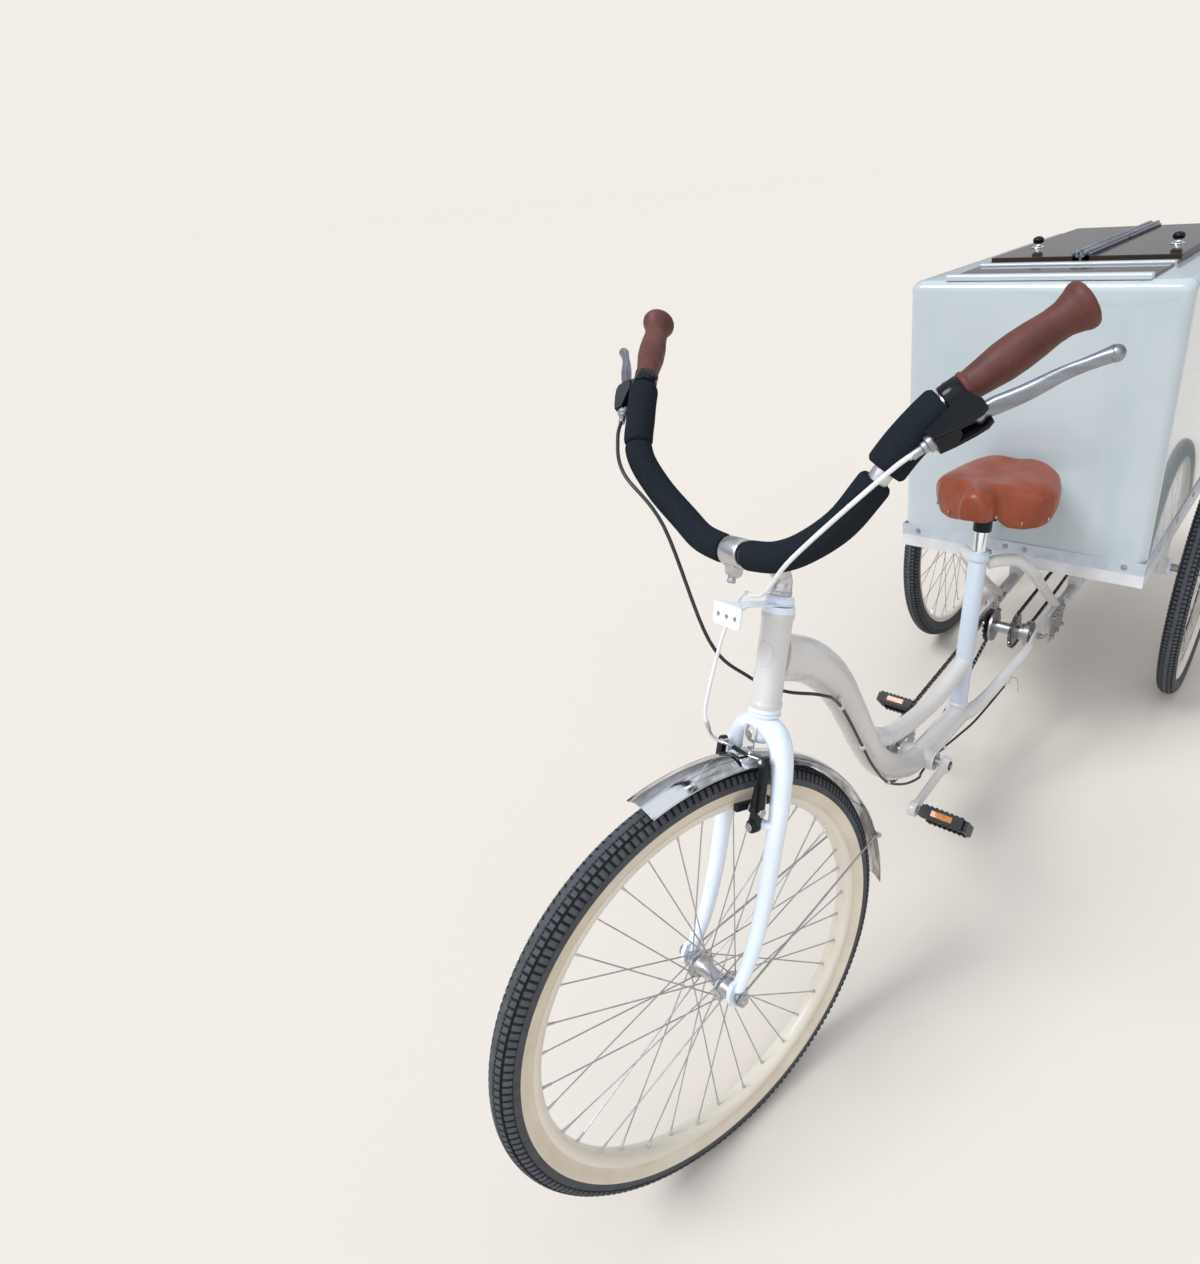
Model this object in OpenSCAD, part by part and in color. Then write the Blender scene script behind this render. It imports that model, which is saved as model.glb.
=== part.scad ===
// Ice cream tricycle: a step-through cruiser with a two-wheel rear axle under
// an insulated box. Lengths are in millimetres. The modules are written in the
// cycle frame: X to the rider's left, Y towards the rear, Z up, origin on the
// floor below the front axle with the wheel straight.

/* [Stance] */
// Distance from the front axle to the rear axle
wheelbase = 1629; // [1500:1:1750]
// Distance between the middles of the rear wheels
rear_track = 682; // [660:1:760]
// Angle of the steering axis from the floor
head_angle = 68.7; // [66:0.1:72]
// Offset of the front axle ahead of the steering axis
fork_rake = 31.5; // [25:0.5:45]
// Angle that the handlebar is turned to at rest, negative to the right
rest_steer = -12.8; // [-20:0.1:0]

/* [Wheels] */
// Outside radius of the front tyre
front_r = 333; // [325:0.5:340]
// Outside radius of the rear tyres
rear_r = 330.5; // [322:0.5:340]
// Width of the tyres
tyre_w = 47; // [40:1:54]
// Thickness of the tyre casing
tyre_wall = 3.5; // [2:0.5:5]
// Radius of the bead seat of the rims
bead_r = 279.5; // [270:0.5:285]
// Radius of the inner edge of the rims
rim_inner_r = 272; // [265:0.5:275]
// Width of the rims
rim_w = 31; // [26:1:36]
// Number of spokes in each wheel, a multiple of four
spoke_count = 36; // [28:4:40]
// Diameter of the spokes
spoke_d = 2; // [1.8:0.1:2.6]
// Diameter of the hub flanges
flange_d = 46; // [40:1:60]
// Distance between the flanges of a hub
flange_gap = 58; // [50:1:66]
// Diameter of the front axle
front_axle_d = 10; // [8:0.5:12]
// Distance between the faces that clamp the front hub
front_drop_gap = 100; // [96:1:110]

/* [Fork] */
// Diameter of the steerer tube
steerer_d = 28.6; // [25.4:0.1:31.8]
// Distance of the fork blades from the middle plane
blade_x = 54; // [48:0.5:60]
// Radius of a blade below the crown
blade_top_r = 14.5; // [12:0.5:17]
// Radius of a blade at the dropout
blade_end_r = 10; // [8:0.5:12]
// Height of the brake bosses along the steering axis
boss_z = 258; // [240:1:275]
// Distance of the brake bosses from the middle plane
boss_x = 40; // [36:0.5:46]

/* [Head and stem] */
// Lower end of the head tube along the steering axis
head_low = 411; // [400:1:420]
// Length of the head tube
head_len = 131; // [110:1:150]
// Outside diameter of the head tube
head_d = 42; // [38:0.5:48]
// Diameter of the quill of the stem
quill_d = 22.2; // [20:0.1:24]
// Height of the handlebar clamp along the steering axis
clamp_z = 619; // [600:1:660]
// Reach of the stem ahead of the steering axis
stem_reach = 84; // [60:1:110]

/* [Handlebar] */
// Diameter of the handlebar tube
bar_d = 22.2; // [20:0.1:25]
// Diameter of the foam sleeves
foam_d = 36; // [30:1:42]
// Diameter of a grip at its middle
grip_d = 33; // [29:0.5:37]
// Diameter of the flared end of a grip
grip_end_d = 41; // [36:0.5:46]

/* [Frame tubes] */
// Height of the bottom bracket
bracket_z = 266; // [255:1:290]
// Distance of the bottom bracket behind the front axle
bracket_y = 667; // [650:1:700]
// Diameter of the bottom bracket shell
shell_d = 42; // [38:0.5:44]
// Length of the bottom bracket shell
shell_len = 70; // [66:0.5:73]
// Depth of the main tube at the head
main_depth_top = 67; // [60:1:72]
// Depth of the main tube at the bottom bracket
main_depth_end = 48; // [46:1:56]
// Width of the main tube
main_width = 46; // [40:1:52]
// Diameter of the brace tube
brace_d = 36; // [32:1:40]
// Diameter of the rear tube
rear_tube_d = 50; // [46:1:54]
// Outside diameter of the seat tube
seat_tube_d = 38; // [34:0.5:42]
// Diameter of the seatpost
seatpost_d = 27.2; // [25.4:0.1:30]
// Diameter of the chain stays
stay_d = 24; // [20:1:26]
// Distance of the stay ends from the middle plane
stay_x = 76; // [74:0.5:80]
// Diameter of the kit tubes
kit_d = 30; // [26:1:34]

/* [Box] */
// Width of the box at its foot
box_w = 560; // [520:1:580]
// Length of the box at its foot
box_len = 962; // [900:1:1000]
// Height of the top of the box above the floor
box_top_z = 1092; // [1050:1:1150]
// Inset of the box walls from foot to top
box_taper = 9; // [0:1:20]
// Radius of the upright corners of the box
box_corner_r = 38; // [20:1:60]
// Thickness of the outer shell
shell_wall = 4; // [3:0.5:8]
// Height of the floor of the ice cream well
well_floor = 570; // [560:1:620]
// Thickness of the walls of the ice cream well
liner_wall = 4; // [2:0.5:8]
// Side of the square frame tubes
square_d = 28; // [24:1:34]
// Height of the underside of the box frame
frame_low = 494; // [480:1:520]
// Height of the trim angle
trim_h = 28; // [20:1:36]
// Thickness of the trim angle
trim_t = 2.5; // [1.5:0.5:4]
// Width of both lids together
lids_w = 396; // [340:1:420]
// Thickness of a lid
lid_t = 14; // [8:1:20]
// Diameter of a lid knob
knob_d = 26; // [20:1:32]

/* [Drive] */
// Pitch of both chains
chain_pitch = 12.7; // [12.7]
// Teeth of the chainring
ring_teeth = 36; // [32:1:40]
// Teeth of the freewheel cog
cog_teeth = 18; // [16:1:22]
// Teeth of the sprockets of the rear chain
drive_teeth = 20; // [18:1:22]
// Length of the cranks
crank_len = 172; // [160:1:178]
// Plane of the crank chain, to the right of the middle plane
crank_chain_x = 45; // [43:0.5:48]
// Plane of the rear chain, to the left of the middle plane
rear_chain_x = 22; // [18:0.5:28]
// Distance of the jackshaft behind the front axle
jack_y = 1145; // [1120:1:1170]
// Height of the jackshaft
jack_z = 322; // [310:1:335]
// Diameter of the rear axle
rear_axle_d = 20; // [17:1:25]
// Outside diameter of the rear axle housing
housing_d = 44; // [40:1:50]

/* [Fits] */
// Radial clearance of a turning or sliding fit
run_fit = 0.08; // [0.05:0.01:0.1]
// Gap between faces of pieces that move past each other
side_gap = 0.5; // [0.4:0.1:1]

/* [Hidden] */
$fn = 48;

white = "white";
cream = "ivory";
black = [0.09, 0.09, 0.1];
steel = "silver";
chrome = "gainsboro";
tan_leather = [0.65, 0.3, 0.14];
grip_brown = [0.42, 0.2, 0.15];

// Steering axis and the front axle when the wheel stands on the floor
axis_dir = [0, cos(head_angle), sin(head_angle)];
axis_back = [0, sin(head_angle), -cos(head_angle)];
tyre_tube_r = tyre_w / 2;
turned_z = cos(head_angle) * sin(rest_steer);
turned_y = sin(head_angle) * sin(rest_steer);
rake_turn = fork_rake * (1 - cos(rest_steer));
front_axle_z = sqrt(1 - turned_z * turned_z) * (front_r - tyre_tube_r)
  + tyre_tube_r + rake_turn * cos(head_angle);
axis_foot = [0, fork_rake * sin(head_angle), front_axle_z - fork_rake * cos(head_angle)];

// Middle of the whole tricycle along Y, which the row's origin lies under
trim_half_w = box_w / 2 + trim_t;
trim_half_len = box_len / 2 + trim_t;
front_end_y = rake_turn * sin(head_angle)
  - sqrt(1 - turned_y * turned_y) * (front_r - tyre_tube_r) - tyre_tube_r;
rear_end_y = wheelbase + trim_half_len;
origin_y = (front_end_y + rear_end_y) / 2;

// Vectors and curves
function unit(v) = v / norm(v);
function along(a, b, t) = a + (b - a) * t;
function flip_x(p) = [-p[0], p[1], p[2]];
function spline_at(p, i, t) =
  let(a = p[max(i - 1, 0)], b = p[i], c = p[i + 1], d = p[min(i + 2, len(p) - 1)])
  0.5 * (2 * b + (c - a) * t + (2 * a - 5 * b + 4 * c - d) * t * t
    + (3 * b - a - 3 * c + d) * t * t * t);
// Points on a smooth curve through a list, with a number of steps per span
function smooth(p, steps) = concat(
  [for (i = [0 : len(p) - 2]) for (k = [0 : steps - 1]) spline_at(p, i, k / steps)],
  [p[len(p) - 1]]);
function tangent(p, i) = unit(p[min(i + 1, len(p) - 1)] - p[max(i - 1, 0)]);
function ring(c, t, ref, ru, rv, n) =
  let(u = unit(cross(ref, t)), v = cross(t, u))
  [for (i = [0 : n - 1]) c + ru * cos(360 * i / n) * u + rv * sin(360 * i / n) * v];
// Sum of the steps up to each point of a path
function run_lengths(p) = [for (i = 0, s = 0; i < len(p); i = i + 1,
  s = s + (i < len(p) ? norm(p[i] - p[i - 1]) : 0)) s];
// Part of a path between two lengths along it
function at_length(p, s) = let(r = run_lengths(p),
  k = max([for (i = [0 : len(p) - 2]) r[i] <= s ? i : 0]))
  along(p[k], p[k + 1], (s - r[k]) / (r[k + 1] - r[k]));
function part_of(p, s0, s1, n) = [for (i = [0 : n]) at_length(p, s0 + (s1 - s0) * i / n)];

// Solid along a path whose section is an ellipse that may change on the way;
// ref must not run along the path
module sweep(path, ru, rv, ref = [1, 0, 0], sides = 16) {
  n = len(path);
  function r_at(r, i) = is_list(r) ? lookup(i / (n - 1), r) : r;
  points = [for (i = [0 : n - 1])
    each ring(path[i], tangent(path, i), ref, r_at(ru, i), r_at(rv, i), sides)];
  walls = [for (k = [0 : n - 2]) for (i = [0 : sides - 1])
    let(a = k * sides + i, b = k * sides + (i + 1) % sides)
    each [[a, a + sides, b + sides], [a, b + sides, b]]];
  last = (n - 1) * sides;
  caps = [for (i = [1 : sides - 2]) each [[0, i, i + 1], [last, last + i + 1, last + i]]];
  polyhedron(points, concat(walls, caps));
}

// Places children with their Z axis along the line from a to b
module aim(a, b) {
  d = b - a;
  translate(a)
    rotate([0, acos(d[2] / norm(d)), atan2(d[1], d[0])]) children();
}
module rod(a, b, r) {
  aim(a, b) cylinder(h = norm(b - a), r = r);
}
module disc_x(r, t) {
  rotate([0, 90, 0]) cylinder(h = t, r = r, center = true);
}
module both_sides() {
  children();
  mirror([1, 0, 0]) children();
}
// Moves pieces from the cycle frame to the row's frame
module placed() {
  translate([0, -origin_y, 0]) children();
}
// Pieces that turn with the handlebar, modelled with the wheel straight
module steered() {
  placed() translate(axis_foot) rotate(a = rest_steer, v = axis_dir)
    translate(-axis_foot) children();
}
// Steering frame: Z up the steering axis, Y behind it, level with the axle
module steer_frame() {
  steered() translate(axis_foot) rotate([head_angle - 90, 0, 0]) children();
}

// Fork, modelled in the steering frame
crown_z = 356;
crown_r = 20;
blade_path = smooth([[22, 0, crown_z + 24], [38, 1, crown_z + 8], [50, 0, crown_z - 28],
  [blade_x, 0, boss_z + 20], [blade_x, 0, boss_z - 20], [blade_x, -2, 150],
  [blade_x, -11, 70], [blade_x, -fork_rake + 2, 14]], 3);
dropout_t = 7;
dropout_x = front_drop_gap / 2 + dropout_t / 2;
axle_seat = [0, -fork_rake, 0];
steerer_top = head_low + head_len + 14;

module fork() {
  color(white) steer_frame() {
    translate([0, 0, crown_z]) difference() {
      union() {
        cylinder(h = steerer_top - crown_z, r = steerer_d / 2);
        cylinder(h = head_low - crown_z - 10, r = crown_r);
        translate([0, 0, head_low - crown_z - 10]) cylinder(h = 3, r = crown_r + 3);
      }
      translate([0, 0, 30]) cylinder(h = steerer_top - crown_z, r = quill_d / 2 + 0.1);
      translate([0, 0, 18]) rotate([90, 0, 0]) cylinder(h = 60, r = 3.2, center = true);
    }
    both_sides() {
      sweep(blade_path, [[0, blade_top_r - 1], [0.3, blade_top_r], [1, blade_end_r]],
        [[0, blade_top_r + 3], [0.3, blade_top_r], [1, blade_end_r]], [0, 1, 0], 14);
      translate([dropout_x, 0, 0]) rotate([0, 90, 0]) difference() {
        translate([0, 0, -dropout_t / 2]) linear_extrude(dropout_t) {
          translate([0, -fork_rake]) circle(r = 17);
          translate([-28, -fork_rake - 5]) square([30, 20]);
        }
        translate([0, -fork_rake, 0])
          cylinder(h = 20, r = front_axle_d / 2 + 0.1, center = true);
      }
      rod([blade_x, -blade_top_r + 2, boss_z], [boss_x, -blade_top_r - 4, boss_z], 6);
      rod([boss_x, -blade_top_r - 2, boss_z], [boss_x, -boss_reach, boss_z], boss_r);
    }
  }
}

// V-brake on the bosses at the front of the blades
boss_r = 4;
boss_reach = 42;
arm_back = -blade_top_r - 10;
arm_t = 10;
module boss_frame(side) {
  translate([side * boss_x, 0, boss_z]) rotate([90, 0, 0]) children();
}
module brake_arm(side) {
  steer_frame() {
    difference() {
      translate([side * boss_x, arm_back, boss_z]) rotate([90, 0, 0]) {
        cylinder(h = arm_t + 2, r = 8.5);
        linear_extrude(arm_t) polygon([for (q = [[8, 0], [11, 40], [9, 92], [4, 100], [-2, 98],
          [-1, 80], [-2, 40], [-8, 0]]) [side * q[0], q[1]]]);
      }
      boss_frame(side) cylinder(h = 80, r = boss_r + run_fit);
    }
    // Pad holder and pad beside the rim
    pad_z = boss_z + 23;
    rod([side * (boss_x + 2), arm_back - arm_t / 2, pad_z],
      [side * (rim_w / 2 + 8), arm_back - arm_t / 2, pad_z], 4);
    translate([side * (rim_w / 2 + 7), arm_back + 3, pad_z])
      rotate([-2, 0, 0]) cube([8, 60, 10], center = true);
  }
}
module left_brake_arm() { color(black) brake_arm(1); }
module right_brake_arm() { color(black) brake_arm(-1); }

// Stem, handlebar and what is on it
bar_clamp_d = 25.4;
bar_mid = [0, -stem_reach, clamp_z];
bar_side = smooth([bar_mid + [0, 0, 0], bar_mid + [30, 0, 1], bar_mid + [70, 0, 7],
  bar_mid + [110, 1, 24], bar_mid + [165, -8, 58], bar_mid + [204, -16, 98],
  bar_mid + [228, -3, 146], bar_mid + [254, 16, 188], bar_mid + [290, 46, 232],
  bar_mid + [332, 82, 283]], 3);
bar_length = run_lengths(bar_side)[len(bar_side) - 1];
grip_len = 122;
lever_s = bar_length - grip_len - 11;
bar_tip = bar_side[len(bar_side) - 1];
grip_dir = unit(bar_tip - at_length(bar_side, bar_length - grip_len));

module stem() {
  color(steel) steer_frame() {
    difference() {
      union() {
        translate([0, 0, steerer_top - 60]) cylinder(h = 92, r = quill_d / 2);
        translate([0, 0, steerer_top + 4]) cylinder(h = 26, r1 = 14, r2 = 13);
        hull() {
          translate([0, 0, steerer_top + 24]) sphere(r = 13, $fn = 20);
          translate(bar_mid + [0, 14, -6]) sphere(r = 12, $fn = 20);
        }
        translate(bar_mid) disc_x(bar_clamp_d / 2 + 6, 40);
        translate(bar_mid + [0, -4, -bar_clamp_d / 2 - 8]) cube([18, 26, 12], center = true);
      }
      translate(bar_mid) disc_x(bar_clamp_d / 2 + 0.05, 90);
      translate(bar_mid + [0, -4, -bar_clamp_d / 2 - 8]) cube([60, 60, 1.6], center = true);
    }
  }
  color("dimgray") steer_frame() {
    rod(bar_mid + [0, -12, -bar_clamp_d / 2 - 22], bar_mid + [0, -12, -bar_clamp_d / 2 - 2], 3);
    translate([0, 0, steerer_top + 36]) cylinder(h = 5, r = 6);
  }
}

// One half of the bar, larger all round by a gap
module bar_core(gap) {
  sweep(bar_side, bar_d / 2 + gap, bar_d / 2 + gap, [0, 1, 0], 12);
}
module handlebar() {
  color(steel) steer_frame() {
    both_sides() bar_core(0);
    translate(bar_mid) disc_x(bar_clamp_d / 2, 50);
  }
}

module sleeve(s0, s1) {
  path = part_of(bar_side, s0, s1, 9);
  difference() {
    sweep(path, [[0, foam_d / 2 - 2], [0.04, foam_d / 2], [0.96, foam_d / 2], [1, foam_d / 2 - 2]],
      [[0, foam_d / 2 - 2], [0.04, foam_d / 2], [0.96, foam_d / 2], [1, foam_d / 2 - 2]],
      [0, 1, 0], 14);
    bar_core(0.3);
  }
}
sleeve_split = 248;
module foam_sleeves() {
  color(black) steer_frame() both_sides() {
    sleeve(27, sleeve_split);
    sleeve(sleeve_split + 12, lever_s - 13);
  }
}

module grips() {
  // Ribbed grip with a flared end, turned about the straight end of the bar
  color(grip_brown) steer_frame() both_sides() {
    root = bar_tip - grip_len * grip_dir;
    aim(root, bar_tip) difference() {
      rotate_extrude() polygon(concat([[0, 0], [grip_d / 2 - 1, 0], [grip_d / 2 + 1, 4]],
        [for (i = [0 : 23]) [grip_d / 2 - (i % 2) * 1.2 - 1.5 * sin(180 * i / 23), 10 + 4 * i]],
        [[grip_d / 2 + 0.5, grip_len - 14], [grip_end_d / 2, grip_len - 2],
         [grip_end_d / 2, grip_len + 3], [grip_end_d / 2 - 4, grip_len + 7], [0, grip_len + 7]]));
      translate([0, 0, -1]) cylinder(h = grip_len + 1, r = bar_d / 2 + 0.6);
    }
  }
}

// Brake levers: out and down from the bar, the blade beside the grip
lever_out = unit([0.815, -0.256, -0.52] - ([0.815, -0.256, -0.52] * grip_dir) * grip_dir);
lever_axis = cross(grip_dir, lever_out);
lever_seat = at_length(bar_side, lever_s);
// Lever frame: X away from the bar, Z along the bar towards its end
module lever_frame(side) {
  m = [[lever_out[0], lever_axis[0], grip_dir[0], lever_seat[0]],
       [lever_out[1], lever_axis[1], grip_dir[1], lever_seat[1]],
       [lever_out[2], lever_axis[2], grip_dir[2], lever_seat[2]]];
  steer_frame() mirror([side < 0 ? 1 : 0, 0, 0]) multmatrix(m) children();
}
pivot_at = [38, 0, 6];

module lever_body(side) {
  difference() {
    lever_housing(side);
    steer_frame() mirror([side < 0 ? 1 : 0, 0, 0]) bar_core(0.05);
  }
}
module lever_housing(side) {
  lever_frame(side) difference() {
    union() {
      cylinder(h = 20, r = bar_d / 2 + 5, center = true);
      // Arm from the clamp to the pivot, with the cable housing below it
      translate([0, -9, -9]) cube([30, 18, 16]);
      translate([26, -10, -40]) cube([16, 20, 52]);
      translate([33, 0, -52]) cylinder(h = 14, r1 = 5, r2 = 8);
      translate([-bar_d / 2 - 12, -4, -6]) cube([14, 8, 12]);
    }
    // Slot that the lever swings in
    translate([25, -5.5, -33]) cube([40, 11, 60]);
    translate(pivot_at) rotate([90, 0, 0]) cylinder(h = 60, r = 2.5 + run_fit, center = true);
    translate([33, 0, -70]) cylinder(h = 60, r = 1.6);
  }
}
module lever_clamps() {
  color(black) {
    lever_body(1);
    lever_body(-1);
  }
}
module brake_lever(side) {
  lever_frame(side) difference() {
    union() {
      translate(pivot_at) rotate([90, 0, 0]) cylinder(h = 10, r = 6.5, center = true);
      translate(pivot_at) rotate([90, 0, 0]) cylinder(h = 19.6, r = 2.5, center = true);
      translate([0, 5, 0]) rotate([90, 0, 0]) linear_extrude(10) polygon(concat(
        [for (i = [0 : 10]) lever_edge(i / 10, -5.5 + 0.5 * i / 10)],
        [for (i = [10 : -1 : 0]) lever_edge(i / 10, 5.5 + 0.5 * i / 10)]));
      translate([lever_end[0], 0, lever_end[1]]) rotate([90, 0, 0])
        cylinder(h = 14, r = 7.5, center = true);
      translate([31, -4, -22]) cube([9, 8, 28]);
    }
    translate([33, 0, -24]) cylinder(h = 14, r = 1.6);
  }
}
lever_end = [72, 122];
// Edge of the blade as it leaves the pivot, off the middle line by w
function lever_edge(t, w) =
  [pivot_at[0] + (lever_end[0] - pivot_at[0]) * (1 - cos(90 * t)) * 0.55
     + (lever_end[0] - pivot_at[0]) * 0.45 * t + w,
   pivot_at[2] + (lever_end[1] - pivot_at[2]) * t];
module left_brake_lever() { color(steel) brake_lever(1); }
module right_brake_lever() { color(steel) brake_lever(-1); }

// Perforated lamp bracket, held under the upper headset nut
bracket_zs = head_low + head_len + 10;
flange_y = -88;
flange_half = 26;
flange_corner = 6;
module lamp_bracket() {
  color(white) steer_frame() {
    translate([0, 0, bracket_zs]) linear_extrude(2.5) difference() {
      union() {
        circle(r = 20);
        polygon([[-13, -4], [-13, flange_y + 22], [-flange_half, flange_y + 4],
          [-flange_half, flange_y + 0.5], [flange_half, flange_y + 0.5],
          [flange_half, flange_y + 4], [13, flange_y + 22], [13, -4]]);
      }
      circle(r = steerer_d / 2 + 0.05);
    }
    // Flange bent down at its front, with rounded corners and three holes
    translate([0, flange_y + 2.5, bracket_zs]) rotate([90, 0, 0]) linear_extrude(2.5) difference() {
      union() {
        translate([-flange_half, -20]) square([2 * flange_half, 22.3]);
        translate([flange_corner - flange_half, -20 - flange_corner])
          square([2 * (flange_half - flange_corner), 10]);
        for (x = [-1, 1]) translate([x * (flange_half - flange_corner), -20]) circle(r = flange_corner);
      }
      for (x = [-16, 0, 16]) translate([x, -13]) circle(r = 3.2);
    }
  }
}

// Mudguard: a crowned strip turned about the front axle
guard_r = 347;
guard_half = 29;
guard_t = 1.2;
guard_from = -10;
guard_to = 96.5;
front_centre = [0, 0, front_axle_z];
function guard_arc(r, n) = [for (i = [0 : n]) let(u = -1 + 2 * i / n)
  [r - 9 * u * u, guard_half * u]];
module front_mudguard() {
  mudguard_stays();
  color(chrome) steered() {
    translate(front_centre) rotate([90, 0, 90]) rotate([0, 0, guard_from])
      rotate_extrude(angle = guard_to - guard_from, $fn = 120)
        polygon(concat(guard_arc(guard_r + guard_t, 8),
          [for (i = [8 : -1 : 0]) guard_arc(guard_r, 8)[i]]));
  }
  color(chrome) steer_frame() difference() {
    union() {
      translate([-11, -crown_r - 2.8, tab_z]) cube([22, 2.6, crown_z + 34 - tab_z]);
      translate([-11, -crown_r - 24, tab_z]) cube([22, 24, 2.6]);
    }
    translate([0, 0, crown_z + 18]) rotate([90, 0, 0]) cylinder(h = 60, r = 3.2);
  }
}
tab_z = guard_r + guard_t + 0.1;
stay_wire_r = 1.7;
stay_eye_x = dropout_x + dropout_t / 2 + 2.3;
// Wire stays from the guard's rear edge to the ends of the axle
module mudguard_stays() {
  edge_angle = guard_from + 18;
  edge = front_centre + (guard_r - 8) * [0, cos(edge_angle), sin(edge_angle)];
  color(steel) steered() both_sides() {
    rod([stay_eye_x, 14, front_axle_z + 1], edge + [guard_half + 2, 0, 0], stay_wire_r);
    translate([stay_eye_x - 2, 0, front_axle_z]) rotate([90, 0, 90]) linear_extrude(4)
      difference() {
        union() {
          circle(r = 8);
          translate([0, -4]) square([16, 9]);
        }
        circle(r = front_axle_d / 2 + 0.05);
      }
    rod(edge + [guard_half + 5, 0, 0], edge + [guard_half - 0.5, 0, 0], 3.5);
  }
}
module front_axle() {
  axle_half = stay_eye_x + 14;
  color(steel) steered() translate(front_centre) {
    disc_x(front_axle_d / 2, 2 * axle_half);
    both_sides() translate([stay_eye_x + 2.1 + 3.2, 0, 0]) rotate([0, 90, 0]) difference() {
      cylinder(h = 7, r = 8.7, $fn = 6);
      translate([0, 0, -1]) cylinder(h = 9, r = front_axle_d / 2 - 0.1);
    }
    both_sides() translate([stay_eye_x + 3.7, 0, 0]) disc_x(10, 3.2);
  }
}

// Wheels: each piece is turned about X, with its middle plane at X = 0
bead_half = rim_w / 2 - 2.4;
module tyre(r) {
  mid = r - tyre_tube_r;
  inner = tyre_tube_r - tyre_wall;
  rotate([0, 90, 0]) rotate_extrude($fn = 96) difference() {
    union() {
      translate([mid, 0]) circle(r = tyre_tube_r);
      translate([bead_r, -bead_half]) square([mid - bead_r, 2 * bead_half]);
    }
    translate([mid, 0]) circle(r = inner);
    translate([mid - 2 * tyre_tube_r, -rim_w]) square([2 * tyre_tube_r + bead_r - mid, 2 * rim_w]);
    translate([bead_r - 1, 3 - bead_half]) square([mid - bead_r, 2 * bead_half - 6]);
    // Grooves of the tread
    for (z = [-9, 0, 9]) translate([mid + tyre_tube_r - (z == 0 ? 2 : 3.6), z - 1]) square([8, 2]);
  }
}
module rim() {
  w = rim_w / 2;
  rotate([0, 90, 0]) rotate_extrude($fn = 96) polygon([[rim_inner_r, -7], [rim_inner_r, 7],
    [bead_r - 3, w - 2], [bead_r + 6, w], [bead_r + 6, w - 2], [bead_r, w - 2.2],
    [bead_r - 2, 9], [bead_r - 2, -9], [bead_r, 2.2 - w], [bead_r + 6, 2 - w],
    [bead_r + 6, -w], [bead_r - 3, 2 - w]]);
}
cross_turn = 3 * 720 / spoke_count;
hub_hole_r = flange_d / 2 - 4;
module spokes() {
  per_side = spoke_count / 2;
  for (side = [-1, 1]) for (k = [0 : per_side - 1]) {
    lead = k % 2 == 0 ? 1 : -1;
    a = 360 * k / per_side + (side > 0 ? 180 / per_side : 0);
    b = a + lead * cross_turn;
    x0 = side * (flange_gap / 2 + lead * 1.7);
    x1 = side * 3;
    root = [x0, hub_hole_r * cos(a), hub_hole_r * sin(a)];
    tip = [x1, rim_inner_r * cos(b), rim_inner_r * sin(b)];
    rod(root, tip, spoke_d / 2);
    rod(along(root, tip, 0.955), along(root, tip, 1.012), 1.9);
  }
}
module hub(bore, half) {
  rotate([0, 90, 0]) rotate_extrude($fn = 64) polygon([[bore, -half], [bore + 6, -half],
    [bore + 8, -flange_gap / 2 - 4], [15, -flange_gap / 2 - 1.2],
    [flange_d / 2, -flange_gap / 2 - 1.2], [flange_d / 2, -flange_gap / 2 + 1.2],
    [15, -flange_gap / 2 + 3], [bore + 6.5, -flange_gap / 2 + 12],
    [bore + 6.5, flange_gap / 2 - 12], [15, flange_gap / 2 - 3],
    [flange_d / 2, flange_gap / 2 - 1.2], [flange_d / 2, flange_gap / 2 + 1.2],
    [15, flange_gap / 2 + 1.2], [bore + 8, flange_gap / 2 + 4], [bore + 6, half], [bore, half]]);
}
module at_front_wheel() { steered() translate(front_centre) children(); }
module at_rear_wheel(side) {
  placed() translate([side * rear_track / 2, wheelbase, rear_r]) children();
}
module front_tyre() { color(black) at_front_wheel() tyre(front_r); }
module front_rim() { color(cream) at_front_wheel() rim(); }
module front_spokes() { color(steel) at_front_wheel() spokes(); }
module front_hub() {
  color(steel) at_front_wheel() hub(front_axle_d / 2 + run_fit, front_drop_gap / 2 - side_gap);
}
module left_rear_tyre() { color(black) at_rear_wheel(1) tyre(rear_r); }
module left_rear_rim() { color(cream) at_rear_wheel(1) rim(); }
module left_rear_spokes() { color(steel) at_rear_wheel(1) spokes(); }
module left_rear_hub() { color(steel) at_rear_wheel(1) hub(rear_axle_d / 2 + 0.02, rear_hub_half); }
module right_rear_tyre() { color(black) at_rear_wheel(-1) tyre(rear_r); }
module right_rear_rim() { color(cream) at_rear_wheel(-1) rim(); }
module right_rear_spokes() { color(steel) at_rear_wheel(-1) spokes(); }
module right_rear_hub() {
  color(steel) at_rear_wheel(-1) hub(rear_axle_d / 2 + run_fit, rear_hub_half);
}
rear_hub_half = 42;

// Frame, which does not turn
module head_frame() {
  placed() translate(axis_foot) rotate([head_angle - 90, 0, 0]) children();
}
head_bore_r = 17;
module head_tube() {
  color(white) head_frame() translate([0, 0, head_low]) difference() {
    union() {
      cylinder(h = head_len, r = head_d / 2);
      cylinder(h = 8, r = head_d / 2 + 1.2);
      translate([0, 0, head_len - 8]) cylinder(h = 8, r = head_d / 2 + 1.2);
    }
    translate([0, 0, -1]) cylinder(h = head_len + 2, r = head_bore_r);
  }
}
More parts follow.
